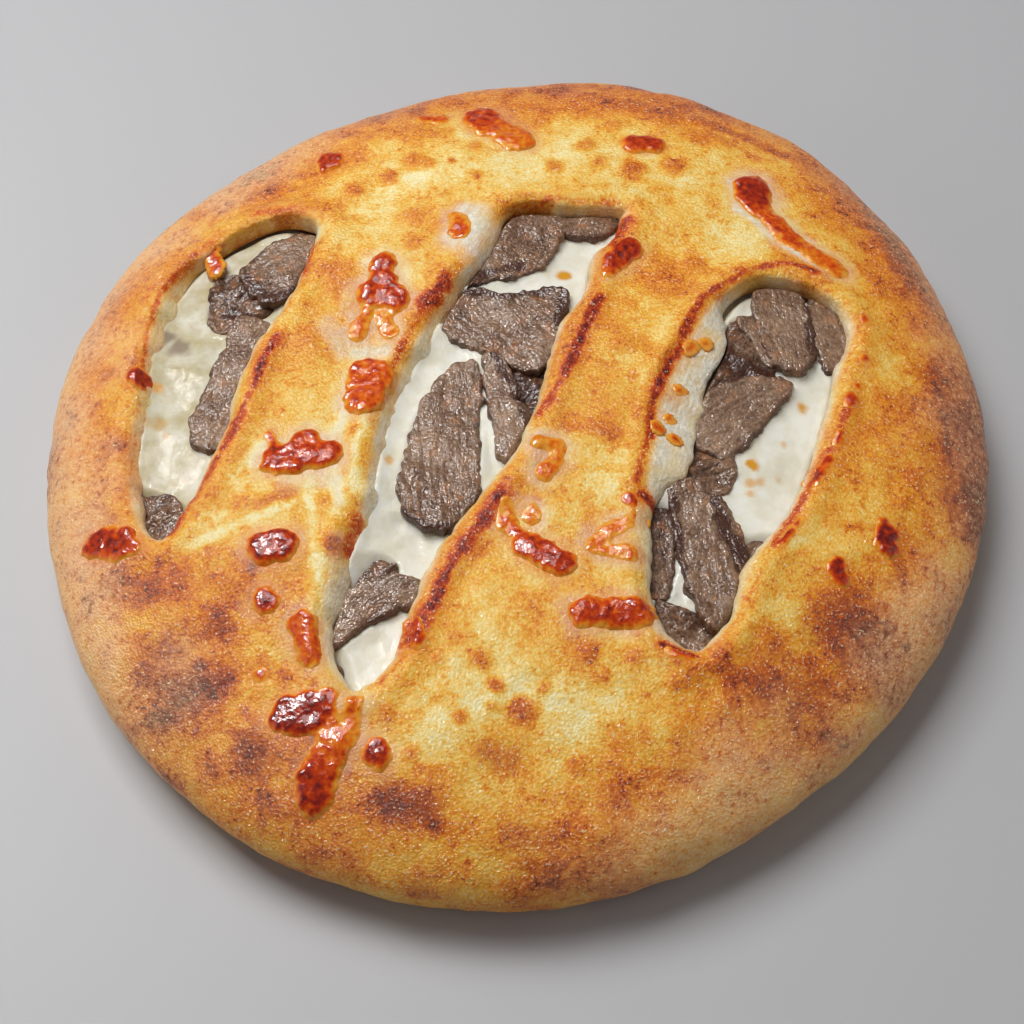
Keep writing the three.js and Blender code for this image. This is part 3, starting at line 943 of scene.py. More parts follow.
@dataclass
class Crown:
    """The loaf's upper face with its slits: what every other piece lies on or under."""

    loaf: Loaf = field(default_factory=Loaf)
    slits: tuple[Slit, ...] = (
        Slit(  # left
            ((-55, 61), (-66, 67), (-84, 58), (-97, 45), (-102, 24), (-103, -2), (-103, -20),
             (-97, -38), (-91, -41), (-84, -31), (-76, -10), (-72, 11), (-63, 31), (-57, 50)),
            wall=4.2, fall=6.2, wall_span=(-40.0, 66.0), filmed=0.4, fat_and_shade=0.9,
        ),
        Slit(  # middle
            ((31, 65), (14, 66), (-2, 65), (-11, 49), (-20, 35), (-29, 16), (-37, -7),
             (-40, -30), (-47, -56), (-48, -76), (-40, -85), (-30, -78), (-25, -62),
             (-15, -40), (-1, -21), (6, -4), (12, 20), (20, 36), (22, 47), (29, 56)),
            wall=4.0, fall=6.2, wall_span=(-80.0, 60.0), filmed=0.7, fat_and_shade=0.12,
        ),
        Slit(  # right
            ((74, 42), (64, 41), (54, 33), (45, 17), (38, 1), (35, -14), (32, -30),
             (31, -46), (32, -62), (37, -72), (44, -75), (53, -66), (60, -49), (70, -36),
             (77, -20), (83, -4), (87, 11), (92, 26), (88, 35)),
            wall=11.0, fall=3.8, wall_span=(-38.0, 44.0), filmed=0.95, fat_and_shade=0.2,
        ),
    )
    ridge_height: float = 1.0
    ridge_out: float = 3.4
    ridge_width: float = 3.2
    blister_height: float = 0.55
    full_blister: float = 6.0
    # The baked surface's unevenness: the size of its swells and how high they are.
    rough_sizes: tuple[tuple[float, float], ...] = ((21.0, 0.5), (8.0, 0.26), (3.2, 0.13))

    def __post_init__(self) -> None:
        """Seeds the crust's unevenness."""
        self.rough = [Unevenness(11 + i) for i in range(len(self.rough_sizes))]

    def nearest_slit(self, places: Array) -> tuple[Array, Array, Array]:
        """Signed distance to the nearest slit's lip, and what its edge is like there.

        Args:
            places: Places in plan.

        Returns:
            Distances, negative inside a slit; the sloping side's share at the nearest
            point of the edge; and how far in the dough's innermost edge stands there.
        """
        best = np.full(len(places), FAR)
        share = np.zeros(len(places))
        inner = np.zeros(len(places))
        for slit in self.slits:
            distance, index = nearest_on(slit.edge, places)
            closer = distance < best
            best = np.where(closer, distance, best)
            share = np.where(closer, slit.share[index], share)
            inner = np.where(closer, slit.inner_edge()[index], inner)
        return best, share, inner

    def relief(self, points: Array) -> Array:
        """Unevenness of the baked surface, in millimetres."""
        return sum(
            height * noise.at(points, size) for noise, (size, height) in zip(self.rough, self.rough_sizes)
        )

    def ridge(self, out: Array) -> Array:
        """Height of the raised edge at a distance out from a lip."""
        return self.ridge_height * bell(out, self.ridge_out, self.ridge_width)

    def blistered(self, places: Array) -> Array:
        """Height of the brown blisters over some places.

        Args:
            places: The places in plan.

        Returns:
            One height for each.
        """
        height = np.zeros(len(places))
        for spot, width, _ in BLISTERS:
            away = np.linalg.norm(places - np.asarray(spot), axis=1)
            near = away < 1.2 * width
            peak = self.blister_height * min(1.0, width / self.full_blister)
            height[near] += peak * bell(away[near], 0.0, 0.42 * width)
        return height

    def surface(self, places: Array) -> Array:
        """Height of the crust's upper face, rolled down at the slits.

        Args:
            places: The places in plan.

        Returns:
            One height for each.
        """
        distance, share, _ = self.nearest_slit(places)
        roll = 2.0 * smoothstep(2.4, -1.0, distance) * (1.0 - share)
        slope = np.zeros(len(places))
        for slit in self.slits:
            away, index = nearest_on(slit.edge, places)
            slope = np.maximum(slope, slit.share[index] * slit.fall * np.clip(-away / slit.wall, 0.0, 1.0))
        height = self.loaf.crown(places) + self.ridge(np.maximum(distance, 0.0))
        return height + self.relief(places) + self.blistered(places) - roll - slope


# ---- the crust ----


class Tone(Enum):
    """What a brush mark does to the crust."""

    BAKE = "bake"  # browns it to a depth of its own
    CAUGHT = "caught"  # scorches it a purplish brown
    SHIFT = "shift"  # makes it browner or paler than it is
    FILM = "film"  # lays a film of melted cheese on it
    STAIN = "stain"  # soaks it with orange fat
    LIP = "lip"  # fries the edge of a slit


@dataclass(frozen=True)
class Mark:
    """One soft brush mark on the crust: a path, its width and how strongly it tells."""

    tone: Tone
    path: tuple[Point, ...]
    width: float
    strength: float
    soft: float = 0.5


# Browned stretches of the slits' lips: a path, its width and how brown it is.
BROWNED_LIPS = (
    (((22, 31), (17, 18), (12, 5)), 3.4, 0.95), (((12, 5), (8, -3), (5, -8)), 2.6, 0.7),
    (((-4, -31), (-10, -40), (-15, -48)), 4.6, 0.95),
    (((-15, -48), (-19, -56), (-22, -64)), 4.0, 0.9), (((-24, -67), (-27, -72)), 6.0, 0.95),
    (((-28, -77), (-34, -83)), 3.0, 0.5), (((-20, 38), (-25, 30)), 5.0, 0.85),
    (((-26, 28), (-31, 17), (-34, 9)), 3.0, 0.6), (((-41, -38), (-42.5, -46)), 4.0, 0.65),
    (((-6, 62), (0, 66.5), (12, 67), (26, 66.5)), 2.2, 0.45), (((30, 60), (27, 52)), 5.0, 0.8),
    (((-57, 53), (-60, 41)), 2.6, 0.55), (((-65, 20), (-68, 12), (-70, 3)), 3.4, 0.95),
    (((-71, 1), (-74, -8), (-77, -16)), 3.0, 0.75), (((-78, -18), (-83, -29), (-89, -39)), 3.0, 0.7),
    (((-87, 58), (-94, 51), (-99, 42)), 2.6, 0.6), (((-99, 42), (-101.5, 30), (-102, 14)), 1.8, 0.5),
    (((-102, 8), (-102, -5), (-102, -19)), 1.8, 0.4), (((-74, 68), (-62, 69)), 3.0, 0.5),
    (((80, 45), (73, 46), (63, 43), (55, 37), (50, 32)), 2.6, 0.7), (((82, 44), (76, 46)), 3.2, 0.9),
    (((50, 32), (46, 24), (43, 16)), 3.0, 0.8), (((43, 15), (40, 9), (37, 2)), 3.2, 1.0),
    (((36, 0), (34.5, -8), (34, -14)), 3.2, 0.9), (((33.5, -15), (31.5, -21), (30, -29)), 2.6, 0.6),
    (((31, -32), (36.5, -35)), 4.0, 0.9), (((95, 30), (93, 18), (90, 8)), 2.0, 0.35),
    (((88, 1), (84, -10), (78, -21), (72, -32), (64, -45)), 2.8, 0.65),
    (((62, -50), (55, -64), (47, -75)), 2.2, 0.35), (((35, -73.5), (44, -77)), 3.0, 0.85),
)
# Brown blisters raised on the crown: place, width in millimetres and how brown they are.
BLISTERS = (
    ((-49, 41), 9, 0.6), ((-57, 19), 8, 0.55), ((-30, 62), 7, 0.6), ((-29, 51), 6, 0.55),
    ((-47, 75), 6, 0.6), ((-67, 65), 5, 0.8), ((-37, 80), 6, 0.55), ((-30, 85), 7, 0.6),
    ((-30, 98), 8, 0.6), ((-26, 84), 4, 0.5), ((-19, 84.5), 2.5, 0.8), ((-12, 77), 4, 0.5),
    ((-12, 90), 4.5, 0.6), ((10, 81.5), 5, 0.5), ((20, 91), 5, 0.5), ((23, 83.5), 4, 0.5),
    ((33, 81), 8, 0.75), ((45, 83), 8, 0.6), ((33, 94), 5, 0.5), ((60, 95), 5, 0.5),
    ((28, 101), 5, 0.5), ((18, 119), 8, 0.8), ((33, 112), 9, 0.75), ((13, 113), 5, 0.6),
    ((52, 106), 7, 0.6), ((40, 41), 13, 0.62), ((48, 46), 7, 0.6), ((23, -12), 9, 0.72),
    ((28, 16), 7, 0.45), ((-75, -64.5), 7, 0.8), ((-74.5, -55), 6, 0.65), ((-57, -80), 5, 0.55),
    ((-110, -54.5), 7, 0.95), ((-102, -60), 3.5, 0.7), ((-110, -45), 3.5, 0.7),
    ((-116, 33), 9, 0.6), ((-117, -9), 6, 0.6), ((-104, 7), 3, 0.6), ((-111, -23), 8, 0.6),
    ((-60, -30), 5, 0.55), ((-50, -33), 4.5, 0.5), ((-66, -33), 5, 0.5), ((-46, -46), 5, 0.85),
    ((-32, -91), 4, 0.5), ((-14, -92), 3, 0.65), ((-7, -89), 3, 0.55), ((-5.5, -84), 4, 0.7),
    ((-10, -77), 5, 0.65), ((-20, -77), 3.5, 0.5), ((6, -84.5), 4, 0.6), ((1, -90), 6.5, 0.85),
    ((-26, -101), 4.5, 0.5), ((-20, -104.5), 3, 0.6), ((14, -104), 5, 0.6), ((27, -105), 5, 0.5),
    ((13.5, -109), 5.5, 0.5), ((17, -75.5), 5, 0.65), ((28.5, -76), 5, 0.6), ((20.5, -81), 3.5, 0.65),
    ((50, -77), 6.5, 0.85), ((38, -83), 5.5, 0.6), ((42, -81), 4.5, 0.5), ((50, -88), 6, 0.55),
    ((40, -94), 9, 0.42), ((37, -101.5), 7, 0.45), ((62, -71), 8, 0.75), ((104, -20), 6, 0.75),
    ((100, -29), 4, 0.7), ((116.6, 7), 4.5, 0.95), ((118, 1), 3, 0.8), ((100, 40), 5, 0.6),
    ((92, 66), 6, 0.6), ((104, 57), 6, 0.7), ((112, 28), 5, 0.6), ((84, 84), 5, 0.5),
    ((43, 8), 4, 0.6), ((41.5, 0), 5, 0.55),
)
# Broad tones: a path, its width and how much browner (or, below nought, paler) it is.
BROAD_TONES = (
    (((-56, -20), (-54, -34)), 19, -0.14), (((-34, 84), (14, 80), (52, 84)), 26, -0.22),
    (((-4, 90), (12, 88)), 14, -0.07), (((56, 66), (66, 58)), 20, -0.13),
    (((58, 84), (74, 84)), 14, -0.08), (((6, -30), (16, -36)), 15, -0.1),
    (((-28, -92), (-8, -86)), 24, -0.16), (((-20, -98), (-12, -76)), 14, -0.08),
    (((-48, 0), (-52, -14)), 14, -0.12), (((-45, -50), (-47, -72)), 9, -0.16),
    (((-88, -44), (-60, -38)), 7, -0.14), (((50, -60), (60, -68)), 12, -0.12),
    (((34, -42), (32, -58)), 12, -0.13), (((28, -34), (20, -28)), 11, -0.13),
    (((60, 58), (44, 58)), 12, -0.08), (((-40, 66), (-30, 74)), 16, -0.08),
    (((-28, 40), (-24, 46)), 8, -0.12), (((32, 62), (36, 50)), 7, -0.1),
    (((-60, 58), (-56, 48)), 8, -0.06), (((46, -44), (60, -76)), 6, -0.08),
    (((-104, -50), (-72, -56)), 24, 0.05), (((-96, -88), (-62, -100)), 26, 0.1),
    (((-42, -110), (0, -117), (56, -104)), 13, 0.04), (((68, -78), (92, -62)), 26, 0.07),
    (((56, -96), (78, -88)), 16, 0.05), (((104, -44), (110, 24)), 26, 0.12),
    (((24, 26), (24, -4)), 16, 0.1), (((2, -62), (16, -72)), 20, 0.05),
    (((-20, 114), (56, 108)), 16, 0.12), (((-112, 44), (-118, -6)), 20, 0.13),
    (((-96, 74), (-76, 90)), 18, 0.1), (((92, 84), (108, 56)), 20, 0.12),
    (((80, -52), (96, -30)), 20, 0.08), (((-52, 44), (-58, 22)), 12, 0.07),
    (((-62, -58), (-70, -70)), 16, 0.04), (((8, -92), (32, -90)), 15, -0.16),
)
# Where the crust caught: a path, its width and how strongly.
CAUGHT_ZONES = (
    (((122, -24), (125, 12)), 20, 0.95), (((82, -66), (87, -70)), 19, 0.75),
    (((64, -80), (68, -83)), 17, 0.65), (((-90, -74), (-84, -80)), 13, 0.8),
    (((-76, -80), (-84, -87)), 11, 0.6), (((-66, -97), (-64, -98)), 9, 0.8),
    (((-30, -112), (-24, -113)), 9, 0.85), (((-104, -50), (-95, -54)), 9, 0.35),
    (((-127, -14), (-127, -5)), 9, 0.6), (((-2, -101), (-8, -101)), 6, 0.6),
    (((-2, -119), (8, -119)), 5, 0.4), (((-75, -64), (-74.5, -65)), 6, 0.5),
)
# Pale creases where the dough was drawn tight: a path and its width.
CREASES = (
    (((-43, 14), (-48, -17), (-46, -36)), 4.0), (((-87, -41), (-77, -35), (-67, -15)), 4.0),
    (((-84, -44), (-70, -38), (-58, -34)), 3.2), (((-37, 12), (-42, -16), (-42, -30)), 2.6),
    (((-54, -24), (-52, -42), (-50, -56)), 2.8),
)
# Browned wrinkles along the rim: a path, its width and how brown it is.
RIM_WRINKLES = (
    (((10, 122), (21, 118), (31, 113)), 3.6, 0.75), (((31, 112), (44, 110), (54, 107)), 4.4, 0.8),
    (((54, 107), (65, 101), (79, 94)), 4.0, 0.85), (((78, 95), (92, 87), (98, 79)), 4.6, 0.75),
    (((99, 77), (104, 64), (107, 52)), 3.8, 0.65), (((48, 102), (60, 98), (70, 90)), 2.6, 0.55),
    (((-20, 116), (-4, 119), (8, 116)), 2.8, 0.55), (((84, 84), (93, 75)), 2.6, 0.5),
    (((14, 112), (26, 107)), 2.4, 0.5), (((-52, 106), (-36, 112)), 3.0, 0.5),
)
# Where melted cheese ran over the crust: a path, its width and how thick it lies.
FILM_ZONES = (
    (((-16, 53), (-9, 48), (-13, 60)), 10, 0.95), (((-43, 14), (-36, 14)), 6, 0.6),
    (((-52, 24), (-46, 15)), 6, 0.35), (((61, 78), (62, 68), (72, 57), (84, 47)), 3.4, 0.8),
    (((-16.6, 52), (-14, 50)), 8, 0.6), (((-60, -27), (-48, -26)), 5, 0.55),
    (((31, -38), (33, -46)), 5, 0.6), (((34, -68), (39, -72)), 5, 0.6),
    (((-45, -45), (-47, -66)), 4, 0.6), (((-43, 12), (-48, -17), (-46, -34)), 2.4, 0.4),
)


@dataclass
class Crust:
    """The baked dough: the whole outside of the loaf, its slits' walls and the pocket."""

    crown: Crown
    spacing: float = 0.98
    rim_points: int = 850
    side_levels: int = 38
    rim_reach: float = 0.9
    wall_levels: int = 17
    torn_levels: int = 13
    over_pocket: float = 8.3
    under_pocket: float = 7.0
    pocket_reach: float = 0.86
    hidden_spacing: float = 9.0
    underside_spacing: float = 11.0
    strand_stretch: float = 6.0
    # How brown the middle is, and how much the rim, the small spots and the far rim add.
    plain_bake: float = 0.345
    rim_bake: float = 0.11
    spot_bake: float = 0.14
    far_rim_bake: float = 0.15
    crease_tone: float = -0.34
    # Clouds of browning: the noise's seed, its size and how much it tells.
    clouds: tuple[tuple[int, float, float], ...] = ((51, 26.0, 0.05), (52, 11.0, 0.1), (53, 3.4, 0.05))

    def build(self) -> Piece:
        """Builds and paints the crust.

        Returns:
            The crust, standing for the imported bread.
        """
        skin = Skin()
        rim = self.side_rings(skin)
        inner_rims, lowest_rims = self.slit_walls(skin)
        loose = self.loose_points()
        top = skin.add(np.column_stack([loose, self.upper_height(loose)]))
        skin.fill([rim[-1], *inner_rims], top, self.on_top)
        self.underside(skin, rim[0])
        self.pocket(skin, lowest_rims)
        points = skin.all_points()
        piece = skin.place(
            "crust", self.crown.loaf.shift(), self.paint(points), BakedCrust(), "baked_crust"
        )
        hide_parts("bread")
        return piece

    def upper_height(self, places: Array) -> Array:
        """Height of the crown away from the slits' rolled edges.

        Args:
            places: The places in plan.

        Returns:
            One height for each.
        """
        distance, _, _ = self.crown.nearest_slit(places)
        height = self.crown.loaf.crown(places) + self.crown.blistered(places)
        return height + self.crown.ridge(distance) + self.crown.relief(places)

    def side_rings(self, skin: Skin) -> list[Array]:
        """The loaf's side and rim as rings, from the table up to the crown.

        Args:
            skin: The crust's mesh.

        Returns:
            Each ring's indices.
        """
        loaf = self.crown.loaf
        # The profile of side and rim, finely sampled and then taken in even steps.
        turn = np.linspace(0.0, math.pi / 2, 60)
        bulge = loaf.base_reach + (1 - loaf.base_reach) * np.sin(turn)
        side = np.stack([bulge, loaf.widest_height * (1 - np.cos(turn))], axis=1)
        out = 1.0 - (1.0 - self.rim_reach) * np.linspace(0.0, 1.0, 200)[1:] ** 2
        profile = np.vstack([side, np.stack([out, loaf.dome(out)], axis=1)])
        real = profile * (loaf.radius, 1.0)
        along = np.concatenate([[0.0], np.cumsum(np.linalg.norm(np.diff(real, axis=0), axis=1))])
        stations = np.linspace(0.0, along[-1], self.side_levels)
        reach = np.interp(stations, along, profile[:, 0])
        high = np.interp(stations, along, profile[:, 1])
        slope = np.stack([np.gradient(high), -np.gradient(reach * loaf.radius)], axis=1)
        slope /= np.linalg.norm(slope, axis=1, keepdims=True)
        rings = []
        for i, (share, height) in enumerate(zip(reach, high)):
            plan = loaf.ring(share, self.rim_points)
            away = plan - np.asarray(loaf.centre)
            away /= np.linalg.norm(away, axis=1, keepdims=True)
            ring = np.column_stack([plan, np.full(len(plan), height)])
            if height >= loaf.widest_height:
                ring[:, 2] = loaf.crown(plan)
            if i == len(reach) - 1:
                ring[:, 2] = self.upper_height(plan)
            else:
                # The unevenness stands out from the surface and fades out at the table.
                blend = smoothstep(loaf.widest_height, loaf.dome(np.float64(self.rim_reach)), height)
                bump = self.crown.relief(ring) * smoothstep(0.0, 5.0, np.float64(height))
                bump = mix(bump, self.crown.relief(plan), blend)
                ring[:, :2] += away * (bump * slope[i, 0])[:, None]
                ring[:, 2] += bump * slope[i, 1]
                ring[:, 2] += self.crown.ridge(self.crown.nearest_slit(plan)[0]) * blend
            rings.append(ring)
        rings[0][:, 2] = 0.0
        return skin.stack(rings)

    def slit_walls(self, skin: Skin) -> tuple[list[Array], list[Array]]:
        """The rolled and sloping edges of the slits.

        Args:
            skin: The crust's mesh.

        Returns:
            Each slit's ring on the crown and its ring in the pocket.
        """
        ragged = (Unevenness(31), Unevenness(32))
        tops, bottoms = [], []
        for slit in self.crown.slits:
            out, high = slit.section(self.wall_levels)
            wander = 0.45 * ragged[0].at(slit.edge, 6.0) + 0.22 * ragged[1].at(slit.edge, 2.2)
            rings = []
            for level in range(self.wall_levels):
                # The torn edge wanders most low on the wall, and little in the pocket.
                loose = smoothstep(0.0, 4.0, np.float64(level)) * (1.0 if level < self.torn_levels else 0.4)
                loose = loose * (1.0 + 0.16 * slit.wall * slit.share)
                plan = slit.edge + slit.normal * (out[level] + wander * loose)[:, None]
                fade = smoothstep(self.wall_levels * 0.9, 2.0, np.float64(level))
                height = self.crown.loaf.crown(plan) + high[level] + fade * self.crown.relief(plan)
                if level == 0:
                    height = self.upper_height(plan)
                rings.append(np.column_stack([plan, height]))
            indices = skin.stack(rings)
            tops.append(indices[0])
            bottoms.append(indices[-1])
        return tops, bottoms

    def loose_points(self) -> Array:
        """Evenly spread places on the crown, clear of the rings that bound it.

        Returns:
            The places in plan.
        """
        reach = self.crown.loaf.radius * 1.05
        places = hexagonal(np.full(2, -reach), np.full(2, reach), self.spacing)
        places = places[self.crown.loaf.reach(places) < self.rim_reach - 0.5 * self.spacing / reach]
        distance, _, _ = self.crown.nearest_slit(places)
        return places[distance > self.crown.slits[0].rounded[0][0] + 0.5 * self.spacing]

    def on_top(self, middles: Array) -> Array:
        """Which middles of triangles lie on the crown.

        Args:
            middles: The middles in plan.

        Returns:
            True for those that do.
        """
        distance, _, _ = self.crown.nearest_slit(middles)
        inside = self.crown.loaf.reach(middles) < self.rim_reach + 0.002
        return inside & (distance > self.crown.slits[0].rounded[0][0] - 0.12)

    def underside(self, skin: Skin, base: Array) -> None:
        """The flat underside.

        Args:
            skin: The crust's mesh.
            base: Indices of the lowest ring.
        """
        loaf = self.crown.loaf
        places = loaf.within(loaf.base_reach - 0.04, self.underside_spacing)
        loose = skin.add(np.column_stack([places, np.zeros(len(places))]))
        skin.fill([base], loose, lambda middles: loaf.reach(middles) < loaf.base_reach + 0.01, down=True)

    def pocket(self, skin: Skin, lips: list[Array]) -> None:
        """The hidden pocket for the filling, coarse where nothing shows.

        Args:
            skin: The crust's mesh.
            lips: Indices of the slits' rings in the pocket.
        """
        loaf = self.crown.loaf
        levels = ((0.79, self.under_pocket), (0.845, 10.0), (self.pocket_reach, 15.0), (0.835, None))
        rings = [skin.add(ring) for ring in loaf.pocket_rings(levels, self.over_pocket)]
        for low, high in zip(rings, rings[1:]):
            skin.band(high, low)
        roof = loaf.within(0.81, self.hidden_spacing)
        distance, _, inner = self.crown.nearest_slit(roof)
        roof = roof[distance + inner > self.hidden_spacing]
        above = skin.add(np.column_stack([roof, loaf.crown(roof) - self.over_pocket]))
        skin.fill([rings[-1], *lips], above, self.under_roof, down=True)
        floor = loaf.within(0.75, self.hidden_spacing)
        below = skin.add(np.column_stack([floor, np.full(len(floor), self.under_pocket)]))
        skin.fill([rings[0]], below, lambda middles: loaf.reach(middles) < 0.8)

    def under_roof(self, middles: Array) -> Array:
        """Which middles of triangles belong to the pocket's ceiling.

        Args:
            middles: The middles in plan.

        Returns:
            True for those that do.
        """
        keep = self.crown.loaf.reach(middles) < 0.84
        for slit in self.crown.slits:
            out, _ = slit.section(self.wall_levels)
            ring = slit.edge + slit.normal * out[-1][:, None]
            distance, _ = nearest_on(ring, middles)
            keep &= distance > 0
        return keep

    def paint(self, points: Array) -> dict[str, Array]:
        """Works out the crust's masks.

        Args:
            points: Every point of the mesh.

        Returns:
            Values from 0 to 1 by the masks' names.
        """
        plan = points[:, :2]
        loaf = self.crown.loaf
        reach = loaf.reach(plan)
        distance, _, _ = self.crown.nearest_slit(plan)
        bake = self.unmarked(points, reach)
        masks = {tone.value: np.zeros(len(points)) for tone in Tone if tone is not Tone.SHIFT}
        wobble = 0.9 * Unevenness(54).at(points, 4.0) + 0.5 * Unevenness(55).at(points, 1.8)
        shown = points[:, 2] > loaf.widest_height
        bare = np.ones(len(points))
        for mark in self.marks():
            cover = self.covered(plan, mark, wobble) * shown
            if mark.tone is Tone.BAKE:
                bake = mix(bake, np.maximum(bake, 0.27 + 0.52 * mark.strength), cover)
                bare *= 1.0 - 0.9 * mark.strength * cover
            elif mark.tone is Tone.SHIFT:
                bake += 0.75 * mark.strength * cover
            else:
                masks[mark.tone.value] = np.maximum(masks[mark.tone.value], mark.strength * cover)
                if mark.tone is Tone.CAUGHT:
                    bake += 0.34 * mark.strength * cover
        # Cheese films the slits' walls and leaves them paler, but not where they browned.
        filmed, strands = self.stretched(points)
        inside = smoothstep(0.4, -1.8, distance) * shown
        masks["film"] = np.maximum(masks["film"], inside * filmed) * bare
        masks["film"] = np.clip(masks["film"] * (1 + 0.35 * Unevenness(53).at(points, 5.0)), 0.0, 1.0)
        masks["bake"] = np.clip(bake - 0.12 * inside, 0.0, 1.0)
        # A dusty rim with painted light on it.
        masks["dry_and_lit"] = self.dusty_and_lit(points, reach)
        masks["strands"] = strands
        return masks

    def unmarked(self, points: Array, reach: Array) -> Array:
        """How brown the crust is before any brush mark.

        Args:
            points: Every point of the mesh.
            reach: How far out each of them is.

        Returns:
            Browning, about 0.3 to 0.7.
        """
        bake = self.plain_bake + self.rim_bake * smoothstep(0.62, 0.88, reach)
        bake += sum(share * Unevenness(seed).at(points, size) for seed, size, share in self.clouds)
        bake += self.spot_bake * smoothstep(0.6, 1.0, Unevenness(56).at(points, 4.2))
        far_rim = bell(reach, 0.94, 0.045) * smoothstep(0.0, 60.0, points[:, 1])
        return bake + self.far_rim_bake * far_rim

    def dusty_and_lit(self, points: Array, reach: Array) -> Array:
        """Where the rim is dusty and painted lighter: most at the left, where the light falls on it, and
        less so at the right and over the shade at the lower right.

        Args:
            points: Every point of the mesh.
            reach: How far out each of them is.

        Returns:
            Shares from 0 to 1.
        """
        x, y = points[:, 0], points[:, 1]
        left = smoothstep(-10.0, -95.0, x) * smoothstep(-115.0, -60.0, y)
        lower_right = smoothstep(0.0, 50.0, x) * smoothstep(-10.0, -60.0, y)
        right = np.maximum(0.45 * smoothstep(70.0, 115.0, x), 0.75 * lower_right)
        outermost = smoothstep(0.8, 1.0, reach + 0.05 * Unevenness(52).at(points, 12.0))
        return outermost * mix(0.12, 1.0, np.maximum(left, right))

    def stretched(self, points: Array) -> tuple[Array, Array]:
        """How far cheese films the nearest slit's walls, and where its strands run.

        Args:
            points: Every point of the mesh.

        Returns:
            The film's strength, and places in millimetres whose first part is drawn out
            along the slit's edge.
        """
        best = np.full(len(points), FAR)
        filmed = np.zeros(len(points))
        along = np.zeros(len(points))
        for slit in self.crown.slits:
            distance, index = nearest_on(slit.edge, points[:, :2])
            closer = distance < best
            best = np.where(closer, distance, best)
            filmed = np.where(closer, mix(0.6, slit.filmed, slit.share[index]), filmed)
            along = np.where(closer, index * slit.step / self.strand_stretch, along)
        return filmed, np.column_stack([along, best, points[:, 2]])

    def covered(self, plan: Array, mark: Mark, wobble: Array) -> Array:
        """How far a mark covers each point, with an uneven edge.

        Args:
            plan: The points in plan.
            mark: The brush mark.
            wobble: How far its edge strays at each point, in millimetres.

        Returns:
            Shares from 0 to 1.
        """
        path = np.array(mark.path)
        margin = mark.width * 1.5 + 2
        near = np.all((plan > path.min(axis=0) - margin) & (plan < path.max(axis=0) + margin), axis=1)
        cover = np.zeros(len(plan))
        away = from_path(mark.path, plan[near]) + wobble[near] * min(1.0, 0.25 + mark.width / 10)
        outer, inner = mark.width * (0.5 + 0.5 * mark.soft), mark.width * 0.5 * (1 - mark.soft)
        cover[near] = smoothstep(outer, inner, away)
        return cover

    def marks(self) -> list[Mark]:
        """Every brush mark on the crust, pale ones first.

        Returns:
            The marks in the order they are laid on.
        """
        creases = [(path, width, self.crease_tone) for path, width in CREASES]
        spots = [((spot,), width, strength) for spot, width, strength in BLISTERS]
        tables = (
            (Tone.SHIFT, 1.0, BROAD_TONES), (Tone.SHIFT, 0.7, creases), (Tone.CAUGHT, 0.8, CAUGHT_ZONES),
            (Tone.FILM, 0.7, FILM_ZONES), (Tone.BAKE, 0.8, spots), (Tone.BAKE, 0.7, RIM_WRINKLES),
        )
        made = [Mark(tone, *row, soft) for tone, soft, rows in tables for row in rows]
        for path, width, strength in BROWNED_LIPS:
            made.append(Mark(Tone.BAKE, path, 2.0 * width, 0.58 * strength, 0.9))
            made.append(Mark(Tone.LIP, path, 0.88 * width, 0.92 * strength, 1.0))
        for drip in DRIPS:
            path = (drip.start, drip.end)
            made.append(Mark(Tone.STAIN, path, drip.width + 1.6, 0.55 * drip.stain, 0.35))
            made.append(Mark(Tone.FILM, path, drip.width + 5.0, 0.4 * drip.halo, 0.35))
        return made


# ---- browned cheese drips ----


@dataclass(frozen=True)
class Drip:
    """Browned cheese that ran from one place to another, with its width.

    dark is how far its middle has browned, halo how pale the crust is round it and stain
    how much orange fat has crept out.
    """

    start: Point
    end: Point
    width: float
    dark: float = 0.8
    halo: float = 0.0
    stain: float = 1.0


